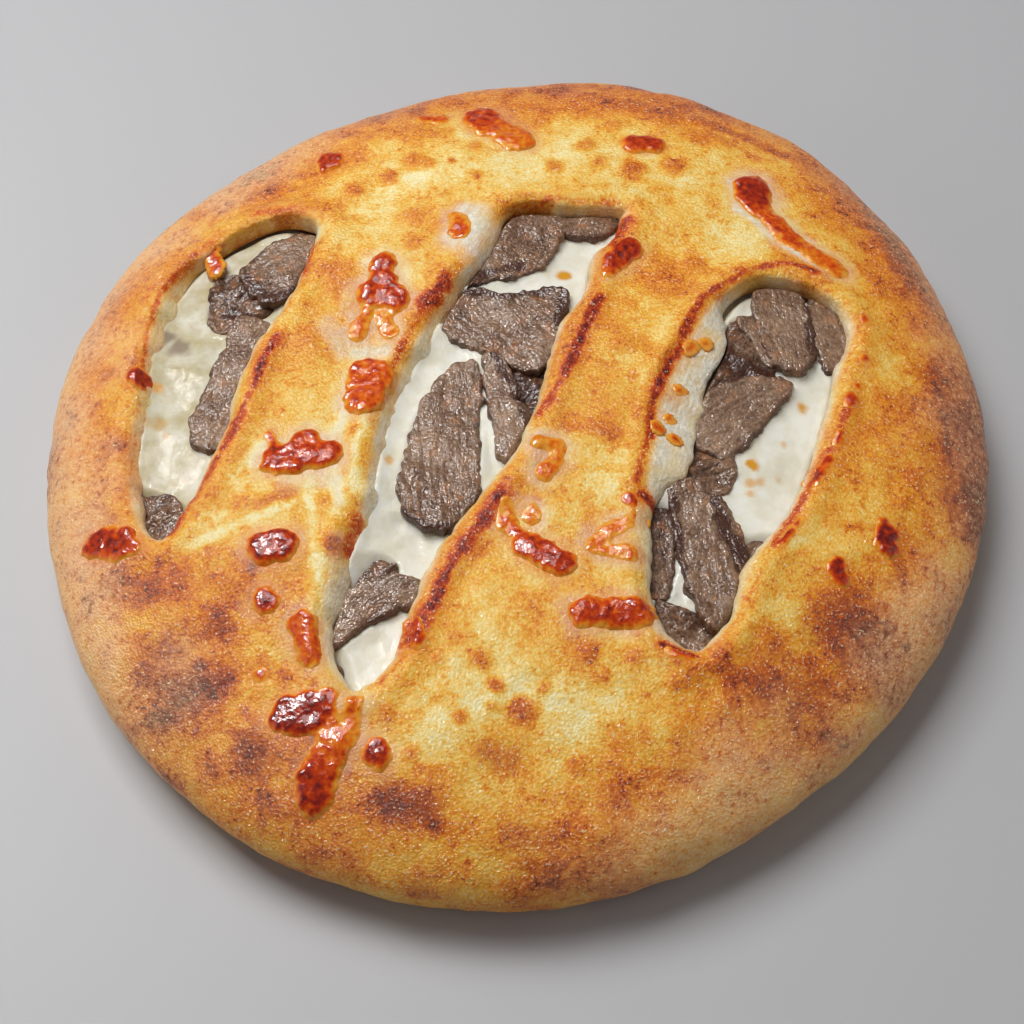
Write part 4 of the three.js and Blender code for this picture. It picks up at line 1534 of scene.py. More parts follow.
DRIPS = (
    Drip((-55.5, 89.5), (-54, 90), 8.0, 0.9), Drip((-27, 107), (-23, 107), 5.0, 0.6),
    Drip((-10.8, 106), (-8.5, 101.5), 11.5, 0.75, 0.3), Drip((-7, 100), (0, 93.8), 10.0, 0.42, 0.3),
    Drip((34.5, 92), (39, 92), 8.0, 0.75), Drip((67, 76.5), (67.5, 72), 10.6, 0.95, 1.0),
    Drip((69, 67), (77, 56), 6.0, 0.6, 1.0), Drip((77, 56), (89, 46), 5.4, 0.45, 0.6),
    Drip((-16.6, 60), (-16.6, 58.5), 5.0, 0.3, 0.8), Drip((-16.6, 56), (-16.5, 55), 5.5, 0.85, 0.8),
    Drip((-37, 44), (-37, 37), 7.0, 0.85, 0.8), Drip((-41, 34), (-33.5, 32.5), 8.0, 0.8, 0.9),
    Drip((-41, 28), (-43.5, 21), 4.6, 0.35, 0.9), Drip((-37, 27), (-34.5, 21), 4.4, 0.35, 0.9),
    Drip((-39, 7), (-41, -1), 11.4, 0.6, 0.4), Drip((-62, -20), (-50, -18.5), 9.5, 0.8, 0.9),
    Drip((-63, -17), (-65, -11.5), 2.4, 0.9, 0.3), Drip((-56, -16), (-55, -15), 8.0, 0.7, 0.5),
    Drip((-64, -46.5), (-60, -46), 9.4, 0.95, 0.4), Drip((-63.5, -60), (-63, -60), 6.5, 0.95, 0.3),
    Drip((-64, -79), (-63.5, -79), 3.2, 0.8), Drip((-108.5, -38.5), (-102, -40.5), 8.5, 0.9, 0.2),
    Drip((-100, -42), (-98.5, -41.5), 4.0, 0.8), Drip((-53.5, -67.5), (-51, -75), 7.0, 0.62, 0.5),
    Drip((-56, -90), (-50, -90), 9.5, 1.05, 0.2), Drip((-46, -86.5), (-46, -91), 3.6, 0.85, 0.3),
    Drip((-40, -88), (-41, -97), 4.2, 0.4, 0.6), Drip((-46, -93), (-44.5, -101), 4.0, 0.35, 0.6),
    Drip((-44.8, -98), (-47, -103.5), 8.8, 0.6, 0.3), Drip((-48, -105), (-49, -108.6), 10.6, 0.95),
    Drip((-34.6, -99.8), (-34.2, -100.6), 6.6, 0.95, 0.3),
    Drip((5.5, -17), (9.5, -18), 4.4, 0.3, 0.9), Drip((10, -19), (9, -22), 4.0, 0.35, 0.9),
    Drip((7.5, -24.5), (7, -25), 5.0, 0.5, 0.9), Drip((-3, -34), (-3, -40), 3.2, 0.3, 0.5),
    Drip((-3, -40), (1, -44.5), 4.8, 0.6, 0.4), Drip((2, -46), (10, -51), 8.0, 0.85, 0.3),
    Drip((3.5, -37), (3.6, -38), 4.4, 0.4, 0.7), Drip((19, -46), (24, -42), 4.6, 0.4, 0.6),
    Drip((24, -42), (31, -38.5), 3.4, 0.35, 0.6), Drip((20, -47), (29, -49.5), 3.8, 0.4, 0.6),
    Drip((16, -65), (30, -65.5), 8.0, 0.75, 0.6), Drip((29, -66), (31, -65.8), 4.0, 0.4, 0.4),
    Drip((94.6, -42), (94.6, -39), 6.8, 1.1), Drip((94.4, -37), (94.3, -35), 3.0, 1.0),
    Drip((80.6, -49), (80.7, -52), 5.0, 1.0), Drip((26, 43.5), (30.5, 49), 7.2, 0.95, 0.3),
    Drip((24.5, 41), (27, 45), 4.5, 0.45, 0.3), Drip((94.3, 28.2), (94.4, 28.5), 2.8, 0.6),
    Drip((93.4, 14.5), (93.5, 15), 2.8, 0.6), Drip((90.5, 5.5), (90.6, 6), 2.2, 0.9),
    Drip((88.5, 1.5), (88, 0), 3.4, 0.9), Drip((84.5, -10), (83.5, -12), 3.2, 0.9),
    Drip((80.5, -17.5), (79.5, -19), 3.0, 0.85), Drip((78.0, -21.5), (76.5, -24), 4.0, 0.95),
    Drip((71.5, -36.5), (70.5, -38), 2.8, 0.8), Drip((68.5, -40.5), (66, -43.5), 3.6, 0.95),
    Drip((37.5, -75.5), (42.5, -76.5), 2.8, 0.75), Drip((-86.5, 56), (-85, 50), 4.2, 0.7),
    Drip((-102.6, 11.6), (-101.2, 10.4), 6.2, 0.9), Drip((45.6, 14.4), (46.6, 15.6), 2.6, 0.55),
    Drip((50.4, 17.4), (50.6, 17.6), 2.2, 0.5), Drip((42.6, 1.6), (42.8, 1.8), 2.4, 0.45),
    Drip((39.6, -7.2), (39.8, -7.6), 2.4, 0.6), Drip((40.6, -13.2), (41.0, -13.4), 2.5, 0.7),
    Drip((36.2, -10.4), (36.4, -10.8), 2.8, 0.75), Drip((28, -33.5), (30, -34.5), 3.4, 0.8),
    Drip((-26, -68), (-25, -72), 4.6, 0.8),
)


@dataclass
class BrownedDrips:
    """All the browned cheese on the crust, as thin bubbled patches sunk a little into it."""

    crown: Crown
    grid: float = 0.48
    height: float = 1.5
    full_width: float = 8.0
    sunk: float = 1.2
    spread: float = 0.3
    # Over what distance a patch's edge rounds up, and how widely drips melt together.
    rounding: float = 0.9
    join: float = 1.4

    def build(self) -> Piece:
        """Builds every drip into one piece.

        Returns:
            The drips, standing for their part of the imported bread.
        """
        skin = Skin()
        masks = {"core": np.concatenate([self.patch(skin, group) for group in self.groups()])}
        piece = skin.place(
            "browned_drips", self.crown.loaf.shift(), masks, BrownedCheese(), "baked_crust"
        )
        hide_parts("bread")
        return piece

    def groups(self) -> list[list[Drip]]:
        """Sorts the drips into groups that run together.

        Returns:
            The groups.
        """
        groups: list[list[Drip]] = []
        for drip in DRIPS:
            touching = [g for g in groups if any(self.meet(drip, other) for other in g)]
            joined = [drip] + [other for g in touching for other in g]
            groups = [g for g in groups if g not in touching] + [joined]
        return groups

    def meet(self, one: Drip, other: Drip) -> bool:
        """Whether two drips run into each other."""
        gap = from_path((other.start, other.end), np.linspace(one.start, one.end, 12)).min()
        return bool(gap < (one.width + other.width) / 2 + 0.8)

    def patch(self, skin: Skin, group: list[Drip]) -> Array:
        """Adds one group of drips as a closed patch.

        Args:
            skin: The drips' mesh.
            group: Drips that run together.

        Returns:
            The core mask of the new points.
        """
        ends = np.array([p for drip in group for p in (drip.start, drip.end)], float)
        reach = max(drip.width for drip in group) / 2 + 2.0
        columns = np.arange(ends[:, 0].min() - reach, ends[:, 0].max() + reach, self.grid)
        rows = np.arange(ends[:, 1].min() - reach, ends[:, 1].max() + reach, self.grid)
        x, y = np.meshgrid(columns, rows)
        places = np.stack([x.ravel(), y.ravel()], axis=1)
        inside, full, dark = self.melted(places, group)
        # Only the grid's cells that lie wholly on the patch are kept.
        keep = (inside > -0.75).reshape(x.shape)
        cells = keep[:-1, :-1] & keep[1:, :-1] & keep[:-1, 1:] & keep[1:, 1:]
        profile = np.where(inside > 0, 1 - np.exp(-np.maximum(inside, 0) / self.rounding), 1.4 * inside)
        bubbles = 0.2 * Unevenness(63).at(places, 2.6) + 0.04 * Unevenness(64).at(places, 1.1)
        lift = self.height * full * profile + bubbles * smoothstep(0.2, 1.6, inside)
        high = self.crown.surface(places) + lift
        base = high - np.maximum(lift, 0.0) - self.sunk
        number = np.full(x.shape, -1)
        row, column = np.nonzero(cells)
        for down, right in ((0, 0), (0, 1), (1, 0), (1, 1)):
            number[row + down, column + right] = 0
        used = np.flatnonzero(number.ravel() == 0)
        number.ravel()[used] = np.arange(len(used))
        upper = skin.add(np.column_stack([places[used], high[used]]))
        lower = skin.add(np.column_stack([places[used], base[used]]))
        a, b = number[row, column], number[row, column + 1]
        c, d = number[row + 1, column + 1], number[row + 1, column]
        triangles = np.concatenate([np.stack([a, b, c], 1), np.stack([a, c, d], 1)])
        skin.faces.append(upper[triangles])
        skin.faces.append(lower[triangles[:, ::-1]])
        self.close(skin, triangles, upper, lower)
        core = 0.9 * dark * smoothstep(-0.3, 1.9, inside)
        return np.concatenate([core[used], core[used]])

    def melted(self, places: Array, group: list[Drip]) -> tuple[Array, Array, Array]:
        """How a group's drips have melted into one patch.

        Args:
            places: The places in plan.
            group: Drips that run together.

        Returns:
            How far inside the patch each place lies, how full the patch is there, as a
            share of its greatest height, and how dark.
        """
        away = np.full(len(places), FAR)
        dark = np.zeros(len(places))
        weight = np.full(len(places), 1e-9)
        full = np.zeros(len(places))
        for drip in group:
            reached = from_path((drip.start, drip.end), places) - drip.width / 2 - self.spread
            bulk = np.exp(-np.maximum(reached, -3.0) / self.rounding)
            dark += bulk * drip.dark
            full += bulk * min(1.0, drip.width / self.full_width) ** 1.5
            weight += bulk
            soft = np.clip(0.5 + 0.5 * (away - reached) / self.join, 0.0, 1.0)
            away = mix(away, reached, soft) - self.join * soft * (1 - soft)
        wobble = 0.55 * Unevenness(61).at(places, 3.4) + 0.3 * Unevenness(62).at(places, 1.5)
        away += wobble * np.minimum(1.0, full / weight + 0.3)
        return -away, full / weight, dark / weight

    def close(self, skin: Skin, triangles: Array, upper: Array, lower: Array) -> None:
        """Joins the upper and lower faces of a patch along its border.

        Args:
            skin: The drips' mesh.
            triangles: Each triangle's corners, as places of the patch.
            upper: Indices of the upper points.
            lower: Indices of the points under them.
        """
        sides = np.concatenate([triangles[:, [0, 1]], triangles[:, [1, 2]], triangles[:, [2, 0]]])
        codes = sides[:, 0] * (len(upper) + 1) + sides[:, 1]
        mirrored = sides[:, 1] * (len(upper) + 1) + sides[:, 0]
        border = sides[~np.isin(codes, mirrored)]
        start, end = border[:, 0], border[:, 1]
        skin.faces.append(np.stack([upper[end], upper[start], lower[start]], axis=1))
        skin.faces.append(np.stack([upper[end], lower[start], lower[end]], axis=1))


# ---- the beef ----


class Cut(Enum):
    """How a piece of beef came off the roast."""

    SLICE = (0.19, 0.3)
    SMOOTH = (0.04, 0.18)
    CRUMBLED = (0.26, 0.75)

    def __init__(self, fibre: float, lump: float) -> None:
        """Keeps how deep the fibres and the lumps of such a piece are, in millimetres."""
        self.fibre = fibre
        self.lump = lump


@dataclass
class BeefSlice:
    """One piece of beef, in millimetres.

    depth is how far its top lies under the crown, rise how it climbs to the right and
    away, grain the direction of its fibres in degrees and tone how light it is.
    """

    name: str
    outline: tuple[Point, ...]
    depth: float
    thick: float
    rise: Point = (0.0, 0.0)
    grain: float = 60.0
    cut: Cut = Cut.SLICE
    tone: float = 0.5
    seared: tuple[tuple[Point, ...], ...] = ()
    sear_width: float = 2.4
    step: float = 0.6
    slope_over: float = 6.0
    fibre_stretch: float = 3.0
    edge: Array = field(init=False)
    middle: Array = field(init=False)

    def __post_init__(self) -> None:
        """Works out the smooth outline and its middle."""
        self.edge = smooth_outline(self.outline, self.step)
        self.middle = self.edge.mean(axis=0)

    def flat_top(self, crown: Crown, places: Array) -> Array:
        """Height of the slice's plain top over some places.

        Args:
            crown: The crust over it.
            places: The places in plan.

        Returns:
            One height for each.
        """
        spots = self.middle + self.slope_over * np.array([(0.0, 0.0), (1.0, 0.0), (0.0, 1.0)])
        level, right, away = crown.loaf.crown(spots)
        climb = np.array([(right - level), (away - level)]) / self.slope_over + np.asarray(self.rise)
        return level - self.depth + (places - self.middle) @ climb

    def tucked(self, crown: Crown, places: Array, high: Array) -> Array:
        """The height with the slice bent down where it runs in under the crust.

        Args:
            crown: The crust over it.
            places: The places in plan.
            high: The height of the top there.

        Returns:
            The new heights.
        """
        distance, _, inner = crown.nearest_slit(places)
        under = distance + inner
        ceiling = crown.loaf.crown(places) - mix(2.0, 8.8, smoothstep(-0.8, 3.0, under))
        return np.minimum(high, ceiling)

    def build(self, crown: Crown) -> Piece:
        """Builds and paints the slice.

        Args:
            crown: The crust over it.

        Returns:
            The slice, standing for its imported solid.
        """
        # Each piece draws its unevenness from a seed of its own.
        seed = sum(ord(letter) * (i + 3) for i, letter in enumerate(self.name))
        ragged, lumps, fibres, curls = (Unevenness(seed + i) for i in range(4))
        normal = outward(self.edge)
        wander = 0.5 * ragged.at(self.edge, 3.5) + 0.34 * ragged.at(self.edge, 1.3)
        turn = math.radians(self.grain)
        along = np.array([math.cos(turn), math.sin(turn)])
        across = np.array([-along[1], along[0]])

        def relief(points: Array) -> Array:
            """Fibres, lumps and a slow curl over some points.

            Args:
                points: The points in plan.

            Returns:
                How high they stand, in millimetres.
            """
            threads = np.column_stack([points @ along, points @ across])
            groove = 1.6 * np.abs(fibres.at(threads, (7.0, 1.9)))
            groove += 0.6 * fibres.at(threads + 40.0, (4.0, 1.3))
            lump = lumps.at(points, 4.6) + 0.6 * lumps.at(points + 60.0, 2.2)
            return self.cut.fibre * groove + self.cut.lump * lump + 0.3 * curls.at(points, 14.0)

        skin = Skin()
        # The side's section: how far out of the outline and how high over the top.
        section = (
            (-0.9, -self.thick), (-0.1, -self.thick + 0.7), (0.15, -0.55 * self.thick),
            (0.12, -0.9), (-0.02, -0.4), (-0.3, -0.12), (-0.8, 0.0),
        )
        rings = []
        for out, high in section:
            plan = self.edge + normal * (out + wander)[:, None]
            top = self.tucked(crown, plan, self.flat_top(crown, plan) + relief(plan))
            rings.append(np.column_stack([plan, top + high]))
        indices = skin.stack(rings)
        low, high = self.edge.min(axis=0), self.edge.max(axis=0)
        loose = hexagonal(low, high, self.step)
        rim = rings[-1][:, :2]
        loose = loose[nearest_on(rim, loose)[0] < -0.45 * self.step]
        top = self.tucked(crown, loose, self.flat_top(crown, loose) + relief(loose))
        inner = skin.add(np.column_stack([loose, top]))
        skin.fill([indices[-1]], inner, lambda middles: nearest_on(rim, middles)[0] < 0.02)
        foot = rings[0][:, :2]
        no_loose = np.zeros(0, int)
        skin.fill([indices[0]], no_loose, lambda middles: nearest_on(foot, middles)[0] < 0.02, down=True)
        points = skin.all_points()
        masks = self.paint(crown, points, along, across, curls)
        piece = skin.place(self.name, crown.loaf.shift(), masks, BEEF_FINISH, "roast_beef")
        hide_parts(self.name)
        return piece

    def paint(
        self, crown: Crown, points: Array, along: Array, across: Array, curls: Unevenness
    ) -> dict[str, Array]:
        """Works out the slice's masks.

        Args:
            crown: The crust over it.
            points: Every point of the mesh.
            along: Direction of the fibres in plan.
            across: Direction across them.
            curls: The slice's slow unevenness.

        Returns:
            Masks by name: fibre coordinates in millimetres, tone and sear.
        """
        plan = points[:, :2]
        grain = np.column_stack([plan @ along / self.fibre_stretch, plan @ across, points[:, 2]])
        sear = np.zeros(len(points))
        for path in self.seared:
            away = from_path(path, plan) + 0.7 * curls.at(plan, 3.0)
            sear = np.maximum(sear, smoothstep(self.sear_width, self.sear_width * 0.25, away))
        rim, _ = nearest_on(self.edge, plan)
        side = smoothstep(-0.4, -2.4, points[:, 2] - self.flat_top(crown, plan))
        edges = 0.55 * smoothstep(-1.6, 0.0, rim) * smoothstep(-0.3, 0.5, curls.at(plan, 6.0))
        sear = np.maximum(sear, edges)
        sear = np.maximum(sear, 0.2 * side)
        tone = np.full(len(points), self.tone) + 0.12 * curls.at(plan, 9.0)
        return {"grain": grain, "tone": tone, "sear": np.clip(sear, 0.0, 1.0)}


BEEF = (
    BeefSlice("beef_left_1", ((-71, 56), (-64, 61), (-57, 60), (-57, 47), (-63, 37), (-68, 34), (-75, 40),
        (-78, 48)), 3.4, 4.0, (0.02, 0.0), 35, Cut.SLICE, 0.5, (((-76, 44), (-68, 35), (-62, 38)),
        ((-78, 50), (-72, 55)))),
    BeefSlice("beef_left_2", ((-76, 32), (-68, 29), (-69, 18), (-73, 4), (-76, -8), (-80, -13), (-85, -12),
        (-87, -3), (-84, 8), (-80, 22)), 4.8, 4.0, (-0.02, 0.0), 70, Cut.SLICE, 0.42),
    BeefSlice("beef_left_3", ((-84, 48), (-75, 47), (-68, 39), (-69, 33), (-76, 30), (-80, 27), (-85, 30),
        (-86, 40)), 6.2, 6.0, (0.0, 0.0), 20, Cut.CRUMBLED, 0.3, (((-76, 40), (-68, 36)), ((-80, 34),
        (-74, 32)))),
    BeefSlice("beef_left_4", ((-63, 70), (-56, 72), (-54, 60), (-60, 58)), 7.5, 5.0, (0.0, 0.0), 80,
        Cut.SMOOTH, 0.55),
    BeefSlice("beef_left_5", ((-102, -24), (-92, -24), (-86, -30), (-86, -42), (-96, -43), (-101, -34)),
        6.0, 7.0, (0.0, 0.0), 40, Cut.CRUMBLED, 0.4),
    BeefSlice("beef_middle_1", ((-5, 73), (7, 75), (13, 62), (11, 53), (6, 45), (-3, 42), (-15, 39),
        (-17, 45), (-10, 54), (-7, 62)), 3.4, 4.0, (0.0, 0.0), 60, Cut.SLICE, 0.42, (((-14, 41), (-6, 44),
        (0, 46)), ((-17, 44), (-12, 52)))),
    BeefSlice("beef_middle_2", ((-22, 33), (-17, 38), (-2, 36), (8, 38), (14, 37), (12, 26), (6, 10),
        (-6, 15), (-18, 22)), 4.2, 4.0, (0.02, 0.02), 135, Cut.SLICE, 0.48, (((-16, 38), (-2, 36),
        (12, 38)), ((13, 36), (11, 24)))),
    BeefSlice("beef_middle_3", ((-9, 15), (-5, 14), (-1, 4), (3, -10), (1, -18), (-5, -19), (-7, -8),
        (-9, 2)), 2.8, 8.0, (0.03, 0.02), 100, Cut.SLICE, 0.55, (((-6, 14), (-1, 2), (3, -12)),), 1.6),
    BeefSlice("beef_middle_4", ((-17, 13), (-11, 13), (-10, -2), (-10, -18), (-13, -38), (-23, -39),
        (-30, -34), (-31, -22), (-27, -3), (-22, 8)), 4.4, 4.2, (-0.03, 0.0), 95, Cut.SLICE, 0.5,
        (((-30, -34), (-22, -40), (-14, -38)),), 1.6),
    BeefSlice("beef_middle_5", ((-5, 14), (7, 12), (10, 0), (3, -9), (-3, 3)), 7.0, 6.0, (0.0, 0.0), 60,
        Cut.CRUMBLED, 0.28, (((-2, 10), (6, 2)),), 4.0),
    BeefSlice("beef_middle_6", ((8, 75), (33, 74), (30, 62), (24, 58), (13, 58)), 4.2, 5.0, (0.0, 0.02), 10,
        Cut.SLICE, 0.42),
    BeefSlice("beef_middle_7", ((-46, -59), (-36, -53), (-23, -54), (-25, -59), (-34, -63), (-46, -71),
        (-50, -66)), 4.6, 4.5, (0.04, 0.05), 30, Cut.SLICE, 0.5, (((-48, -68), (-46, -60)),)),
    BeefSlice("beef_middle_8", ((-41, -52), (-36, -46), (-31, -48), (-33, -56), (-44, -59)), 6.2, 5.0,
        (0.0, 0.0), 40, Cut.CRUMBLED, 0.35),
    BeefSlice("beef_middle_9", ((-51, -72), (-46, -73), (-43, -81), (-45, -87), (-52, -83)), 7.5, 5.0,
        (0.0, 0.0), 70, Cut.CRUMBLED, 0.2),
    BeefSlice("beef_right_1", ((69, 48), (76, 45), (80, 33), (80, 17), (75, 11), (69, 13), (65, 26),
        (65, 38)), 3.0, 4.5, (0.0, 0.0), 95, Cut.SMOOTH, 0.46, (((80, 34), (80, 20)),), 1.5),
    BeefSlice("beef_right_2", ((81, 39), (91, 39), (95, 31), (91, 20), (84, 13), (80, 25)), 3.8, 4.5,
        (0.0, 0.0), 95, Cut.SMOOTH, 0.52),
    BeefSlice("beef_right_3", ((44, -9), (48, 2), (56, 8), (66, 10), (73, 8), (68, -2), (60, -11),
        (54, -16)), 4.2, 4.0, (-0.03, 0.04), 35, Cut.SLICE, 0.48, (((46, 2), (56, 8), (64, 10)),), 1.6),
    BeefSlice("beef_right_4", ((39, -26), (47, -25), (51, -37), (57, -53), (56, -63), (49, -67), (43, -58),
        (40, -43)), 3.6, 6.0, (0.02, 0.0), 100, Cut.SLICE, 0.5, (((51, -36), (57, -52)), ((40, -30),
        (41, -52))), 1.5),
    BeefSlice("beef_right_5", ((60, 30), (64, 30), (71, 17), (68, 13), (64, 20)), 4.2, 6.0, (0.0, 0.0), 115,
        Cut.SMOOTH, 0.46),
    BeefSlice("beef_right_6", ((54, 26), (62, 29), (67, 18), (69, 10), (57, 7), (48, 3), (50, 16)), 5.4,
        6.0, (0.0, 0.0), 50, Cut.CRUMBLED, 0.22, (((52, 20), (60, 12), (66, 10)),), 5.0),
    BeefSlice("beef_right_7", ((43, -15), (49, -10), (57, -15), (54, -26), (45, -25)), 5.8, 6.0, (0.0, 0.0),
        20, Cut.CRUMBLED, 0.42),
    BeefSlice("beef_right_8", ((48, -27), (52, -28), (58, -43), (58, -52), (53, -46)), 5.0, 6.0, (0.0, 0.0),
        105, Cut.SLICE, 0.3, (((50, -30), (57, -48)),), 2.0),
    BeefSlice("beef_right_9", ((34, -33), (39, -33), (40, -47), (37, -58), (32, -56), (31, -44)), 6.0, 6.0,
        (0.0, 0.0), 95, Cut.SLICE, 0.32),
    BeefSlice("beef_right_10", ((55, -43), (64, -40), (63, -53), (57, -57)), 6.8, 5.0, (0.0, 0.0), 60,
        Cut.SMOOTH, 0.6),
    BeefSlice("beef_right_11", ((34, -58), (41, -60), (49, -66), (46, -73), (38, -71)), 6.0, 5.0,
        (0.0, 0.0), 140, Cut.CRUMBLED, 0.38),
)


# ---- the cheese ----


@dataclass
class Cheese:
    """The melted cheese: a lens in the pocket whose wet top shows in the slits."""

    crown: Crown
    depth: float = 6.5
    spacing: float = 0.9
    floor: float = 7.3
    hidden_depth: float = 8.6
    bank_width: float = 6.0
    # Orange spots of fat: a place, its width and how strong the colour is.
    fat_spots: tuple[tuple[Point, float, float], ...] = (
        ((12.6, 44.0), 3.6, 0.9), ((-33.9, -18.0), 2.4, 0.5), ((76, 2.5), 3.0, 0.75),
        ((61.5, -16.3), 3.2, 0.95), ((60.5, -22), 3.0, 0.5), ((63, -21.5), 2.6, 0.45),
        ((60.5, -25.6), 2.4, 0.45), ((-96, -1.8), 3.4, 0.3), ((-94, -5.5), 2.2, 0.35),
        ((-101, -2), 4.0, 0.3), ((-97.6, 10.2), 3.2, 0.6), ((70, -10), 2.0, 0.35),
        ((66, -3), 2.0, 0.3), ((73, 12), 1.6, 0.25), ((-88, -20), 2.0, 0.25),
        ((22, 52), 2.0, 0.3), ((68, -20), 1.8, 0.3),
    )
    # Beef that only tints the cheese over it: a place and its width.
    sunk_beef: tuple[tuple[Point, float], ...] = (((-93.0, 23.5), 7.0), ((-97.0, 27.0), 5.0))

    def build(self) -> Piece:
        """Builds and paints the cheese.

        Returns:
            The cheese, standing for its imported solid.
        """
        loaf = self.crown.loaf
        skin = Skin()
        levels = ((0.785, self.floor), (0.84, 10.2), (0.855, 15.0), (0.83, None))
        indices = skin.stack(loaf.pocket_rings(levels, self.hidden_depth))
        # Fine where the slits show it, coarse where the crust hides it.
        fine = loaf.within(0.8, self.spacing)
        distance, _, inner = self.crown.nearest_slit(fine)
        fine = fine[distance + inner < 4.0]
        coarse = loaf.within(0.8, 8.0)
        distance, _, inner = self.crown.nearest_slit(coarse)
        coarse = coarse[distance + inner > 8.0]
        places = np.vstack([fine, coarse])
        top = skin.add(np.column_stack([places, self.level(places)]))
        skin.fill([indices[-1]], top, lambda middles: loaf.reach(middles) < 0.835)
        low = loaf.within(0.74, 12.0)
        base = skin.add(np.column_stack([low, np.full(len(low), self.floor)]))
        skin.fill([indices[0]], base, lambda middles: loaf.reach(middles) < 0.79, down=True)
        piece = skin.place(
            "melted_cheese", loaf.shift(), self.paint(skin.all_points()), MeltedCheese(), "melted_cheese"
        )
        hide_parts("cheese")
        return piece

    def level(self, places: Array) -> Array:
        """Height of the cheese over some places, drawn up round the beef and the dough.

        Args:
            places: The places in plan.

        Returns:
            One height for each.
        """
        crown = self.crown.loaf.crown(places)
        distance, share, inner = self.crown.nearest_slit(places)
        under = distance + inner * (1.0 - 0.45 * share)
        lumps = 0.55 * Unevenness(71).at(places, 13.0) + 0.3 * Unevenness(72).at(places, 5.5)
        lumps += 0.1 * Unevenness(73).at(places, 2.4)
        climb = mix(0.9, 2.9, share) * np.exp(-np.maximum(-under, 0.0) / mix(2.2, 3.4, share))
        open_level = crown - self.depth + lumps + climb
        shut_level = crown - self.hidden_depth
        height = mix(open_level, shut_level, smoothstep(-0.6, 2.6, under))
        # It creeps up at the beef's edges, and stays under a slice and its bank.
        meniscus = np.zeros(len(places))
        sunk = np.full(len(places), FAR)
        for piece in BEEF:
            low, high = piece.edge.min(axis=0) - self.bank_width, piece.edge.max(axis=0) + self.bank_width
            near = np.all((places > low) & (places < high), axis=1)
            if not near.any():
                continue
            rim, _ = nearest_on(piece.edge, places[near])
            top = piece.flat_top(self.crown, places[near])
            meniscus[near] = np.maximum(meniscus[near], 0.7 * np.exp(-np.maximum(rim, 0.0) / 1.3))
            bank = 0.8 * np.maximum(rim, 0.0) - 1.5 * smoothstep(0.6, -2.0, rim)
            limit = np.where(rim < self.bank_width, top - 0.8 + bank, FAR)
            sunk[near] = np.minimum(sunk[near], limit)
        height = height + meniscus * smoothstep(1.0, -1.0, under)
        return np.minimum(height, sunk)

    def paint(self, points: Array) -> dict[str, Array]:
        """Works out where fat shows in spots, where painted shade and fat lie, and where beef tints the
        cheese.

        Args:
            points: Every point of the mesh.

        Returns:
            Values from 0 to 1 by the masks' names.
        """
        plan = points[:, :2]
        uneven = Unevenness(74).at(plan, 2.0)
        fat = np.zeros(len(points))
        for spot, width, strength in self.fat_spots:
            away = from_path((spot,), plan) + 0.5 * uneven
            fat = np.maximum(fat, strength * smoothstep(width * 0.75, width * 0.2, away))
        tint = np.zeros(len(points))
        for spot, width in self.sunk_beef:
            away = from_path((spot,), plan) + 0.8 * uneven
            tint = np.maximum(tint, 0.75 * smoothstep(width * 0.7, width * 0.25, away))
        # Painted shade, yellow with fat, in the cheese along the slits' left walls.
        fat_and_shade_pool = np.zeros(len(points))
        for slit in self.crown.slits:
            distance, index = nearest_on(slit.edge, plan)
            fat_and_shade_pool = np.maximum(fat_and_shade_pool, slit.fat_and_shade * slit.share[index] * bell(distance, -2.0, 9.0))
        # The whole left slit's cheese is painted in shade as well.
        fat_and_shade_pool = np.maximum(fat_and_shade_pool, 0.85 * smoothstep(-50.0, -75.0, plan[:, 0]))
        return {"fat": fat, "tint": tint, "fat_and_shade_pool": fat_and_shade_pool}


class Shared:
    """A finish whose one material serves many pieces."""

    def __init__(self, finish: Finish) -> None:
        """Keeps the finish and builds nothing yet."""
        self.finish = finish
        self.made: Material | None = None

    def material(self) -> Material:
        """The one material.

        Returns:
            The material.
        """
        if self.made is None:
            self.made = self.finish.material()
        return self.made


BEEF_FINISH = Shared(RoastBeef())


# ---- the table and the view ----


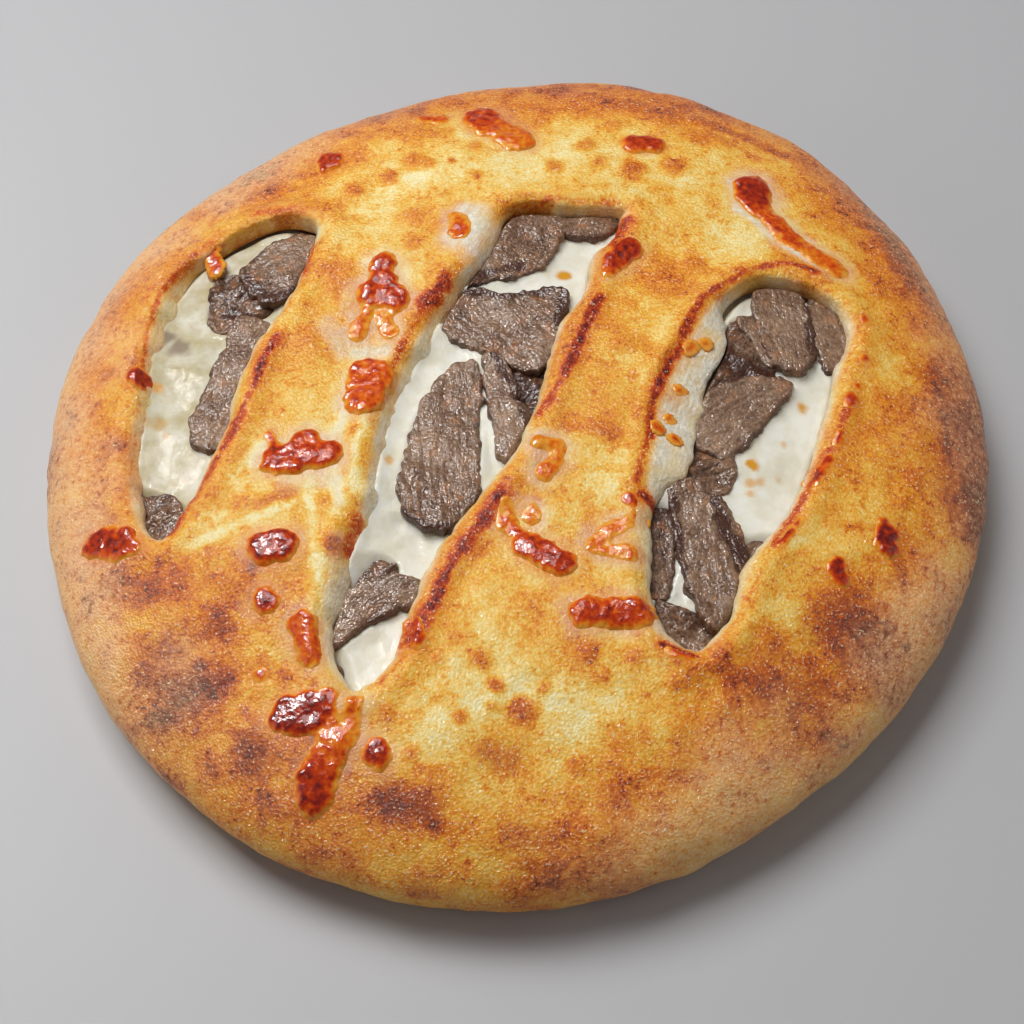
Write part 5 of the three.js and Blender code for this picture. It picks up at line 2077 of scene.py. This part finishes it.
@dataclass
class Studio:
    """A pale table, soft light from the upper left and the camera.

    Lengths are in metres, the focal length in millimetres and the elevation in degrees.
    """

    elevation: float = 58.0
    focal: float = 70.0
    distance: float = 0.53
    target: tuple[float, float, float] = (-0.00174, -0.0234, 0.02)
    world_strength: float = 0.125
    world_colour: str = "#F6F5F4"
    table_half: float = 3.0

    def build(self, shift: Array) -> None:
        """Sets the table, the lights and the camera.

        Args:
            shift: What carries the loaf's plan into the frame, in millimetres.
        """
        scene = bpy.context.scene
        scene.view_settings.view_transform = "Standard"
        self.table()
        # The glint lamp only shows where something wet mirrors it.
        self.light("key", (-0.36, 0.36, 1.05), 0.7, 11.6)
        self.light("glint", (-0.55, 0.3, 0.75), 0.3, 12.0).visible_diffuse = False
        self.light("left", (-1.1, -0.3, 0.45), 0.7, 1.7)
        self.light("right", (1.1, -0.1, 0.6), 0.9, 2.2)
        world = bpy.data.worlds.new("studio")
        world.use_nodes = True
        background = world.node_tree.nodes["Background"]
        background.inputs["Color"].default_value = linear(self.world_colour)
        background.inputs["Strength"].default_value = self.world_strength
        scene.world = world
        target = Vector(self.target) + Vector((shift[0], shift[1], 0.0)) * METRES_PER_MM
        angle = math.radians(self.elevation)
        back = Vector((0.0, -math.cos(angle), math.sin(angle)))
        data = bpy.data.cameras.new("camera")
        data.lens = self.focal
        data.sensor_width = 36.0
        data.clip_start = 0.01
        camera = bpy.data.objects.new("camera", data)
        camera.location = target + back * self.distance
        camera.rotation_euler = (math.radians(90.0 - self.elevation), 0.0, 0.0)
        scene.collection.objects.link(camera)
        scene.camera = camera

    def table(self) -> None:
        """A wide flat table top."""
        half = self.table_half
        corners = [(-half, -half, 0), (half, -half, 0), (half, half, 0), (-half, half, 0)]
        mesh = bpy.data.meshes.new("table")
        mesh.from_pydata(corners, [], [(0, 1, 2, 3)])
        mesh.materials.append(PaleTable().material())
        table = bpy.data.objects.new("table", mesh)
        bpy.context.scene.collection.objects.link(table)

    def light(self, name: str, place: tuple[float, float, float], size: float, power: float) -> Piece:
        """A square soft light that faces the loaf.

        Args:
            name: The lamp's name.
            place: Where it hangs, in metres.
            size: Length of its sides, in metres.
            power: Its power in watts.

        Returns:
            The lamp.
        """
        data = bpy.data.lights.new(name, "AREA")
        data.size = size
        data.energy = power
        lamp = bpy.data.objects.new(name, data)
        lamp.location = place
        lamp.rotation_euler = (Vector((0.0, 0.0, 0.02)) - Vector(place)).to_track_quat("-Z", "Y").to_euler()
        bpy.context.scene.collection.objects.link(lamp)
        return lamp


def main() -> None:
    """Builds the stromboli piece by piece."""
    logging.basicConfig(level=logging.INFO, format="%(name)s: %(message)s")
    crown = Crown()
    Studio().build(crown.loaf.shift())
    Crust(crown).build()
    BrownedDrips(crown).build()
    Cheese(crown).build()
    for piece in BEEF:
        piece.build(crown)


if __name__ == "__main__":
    main()
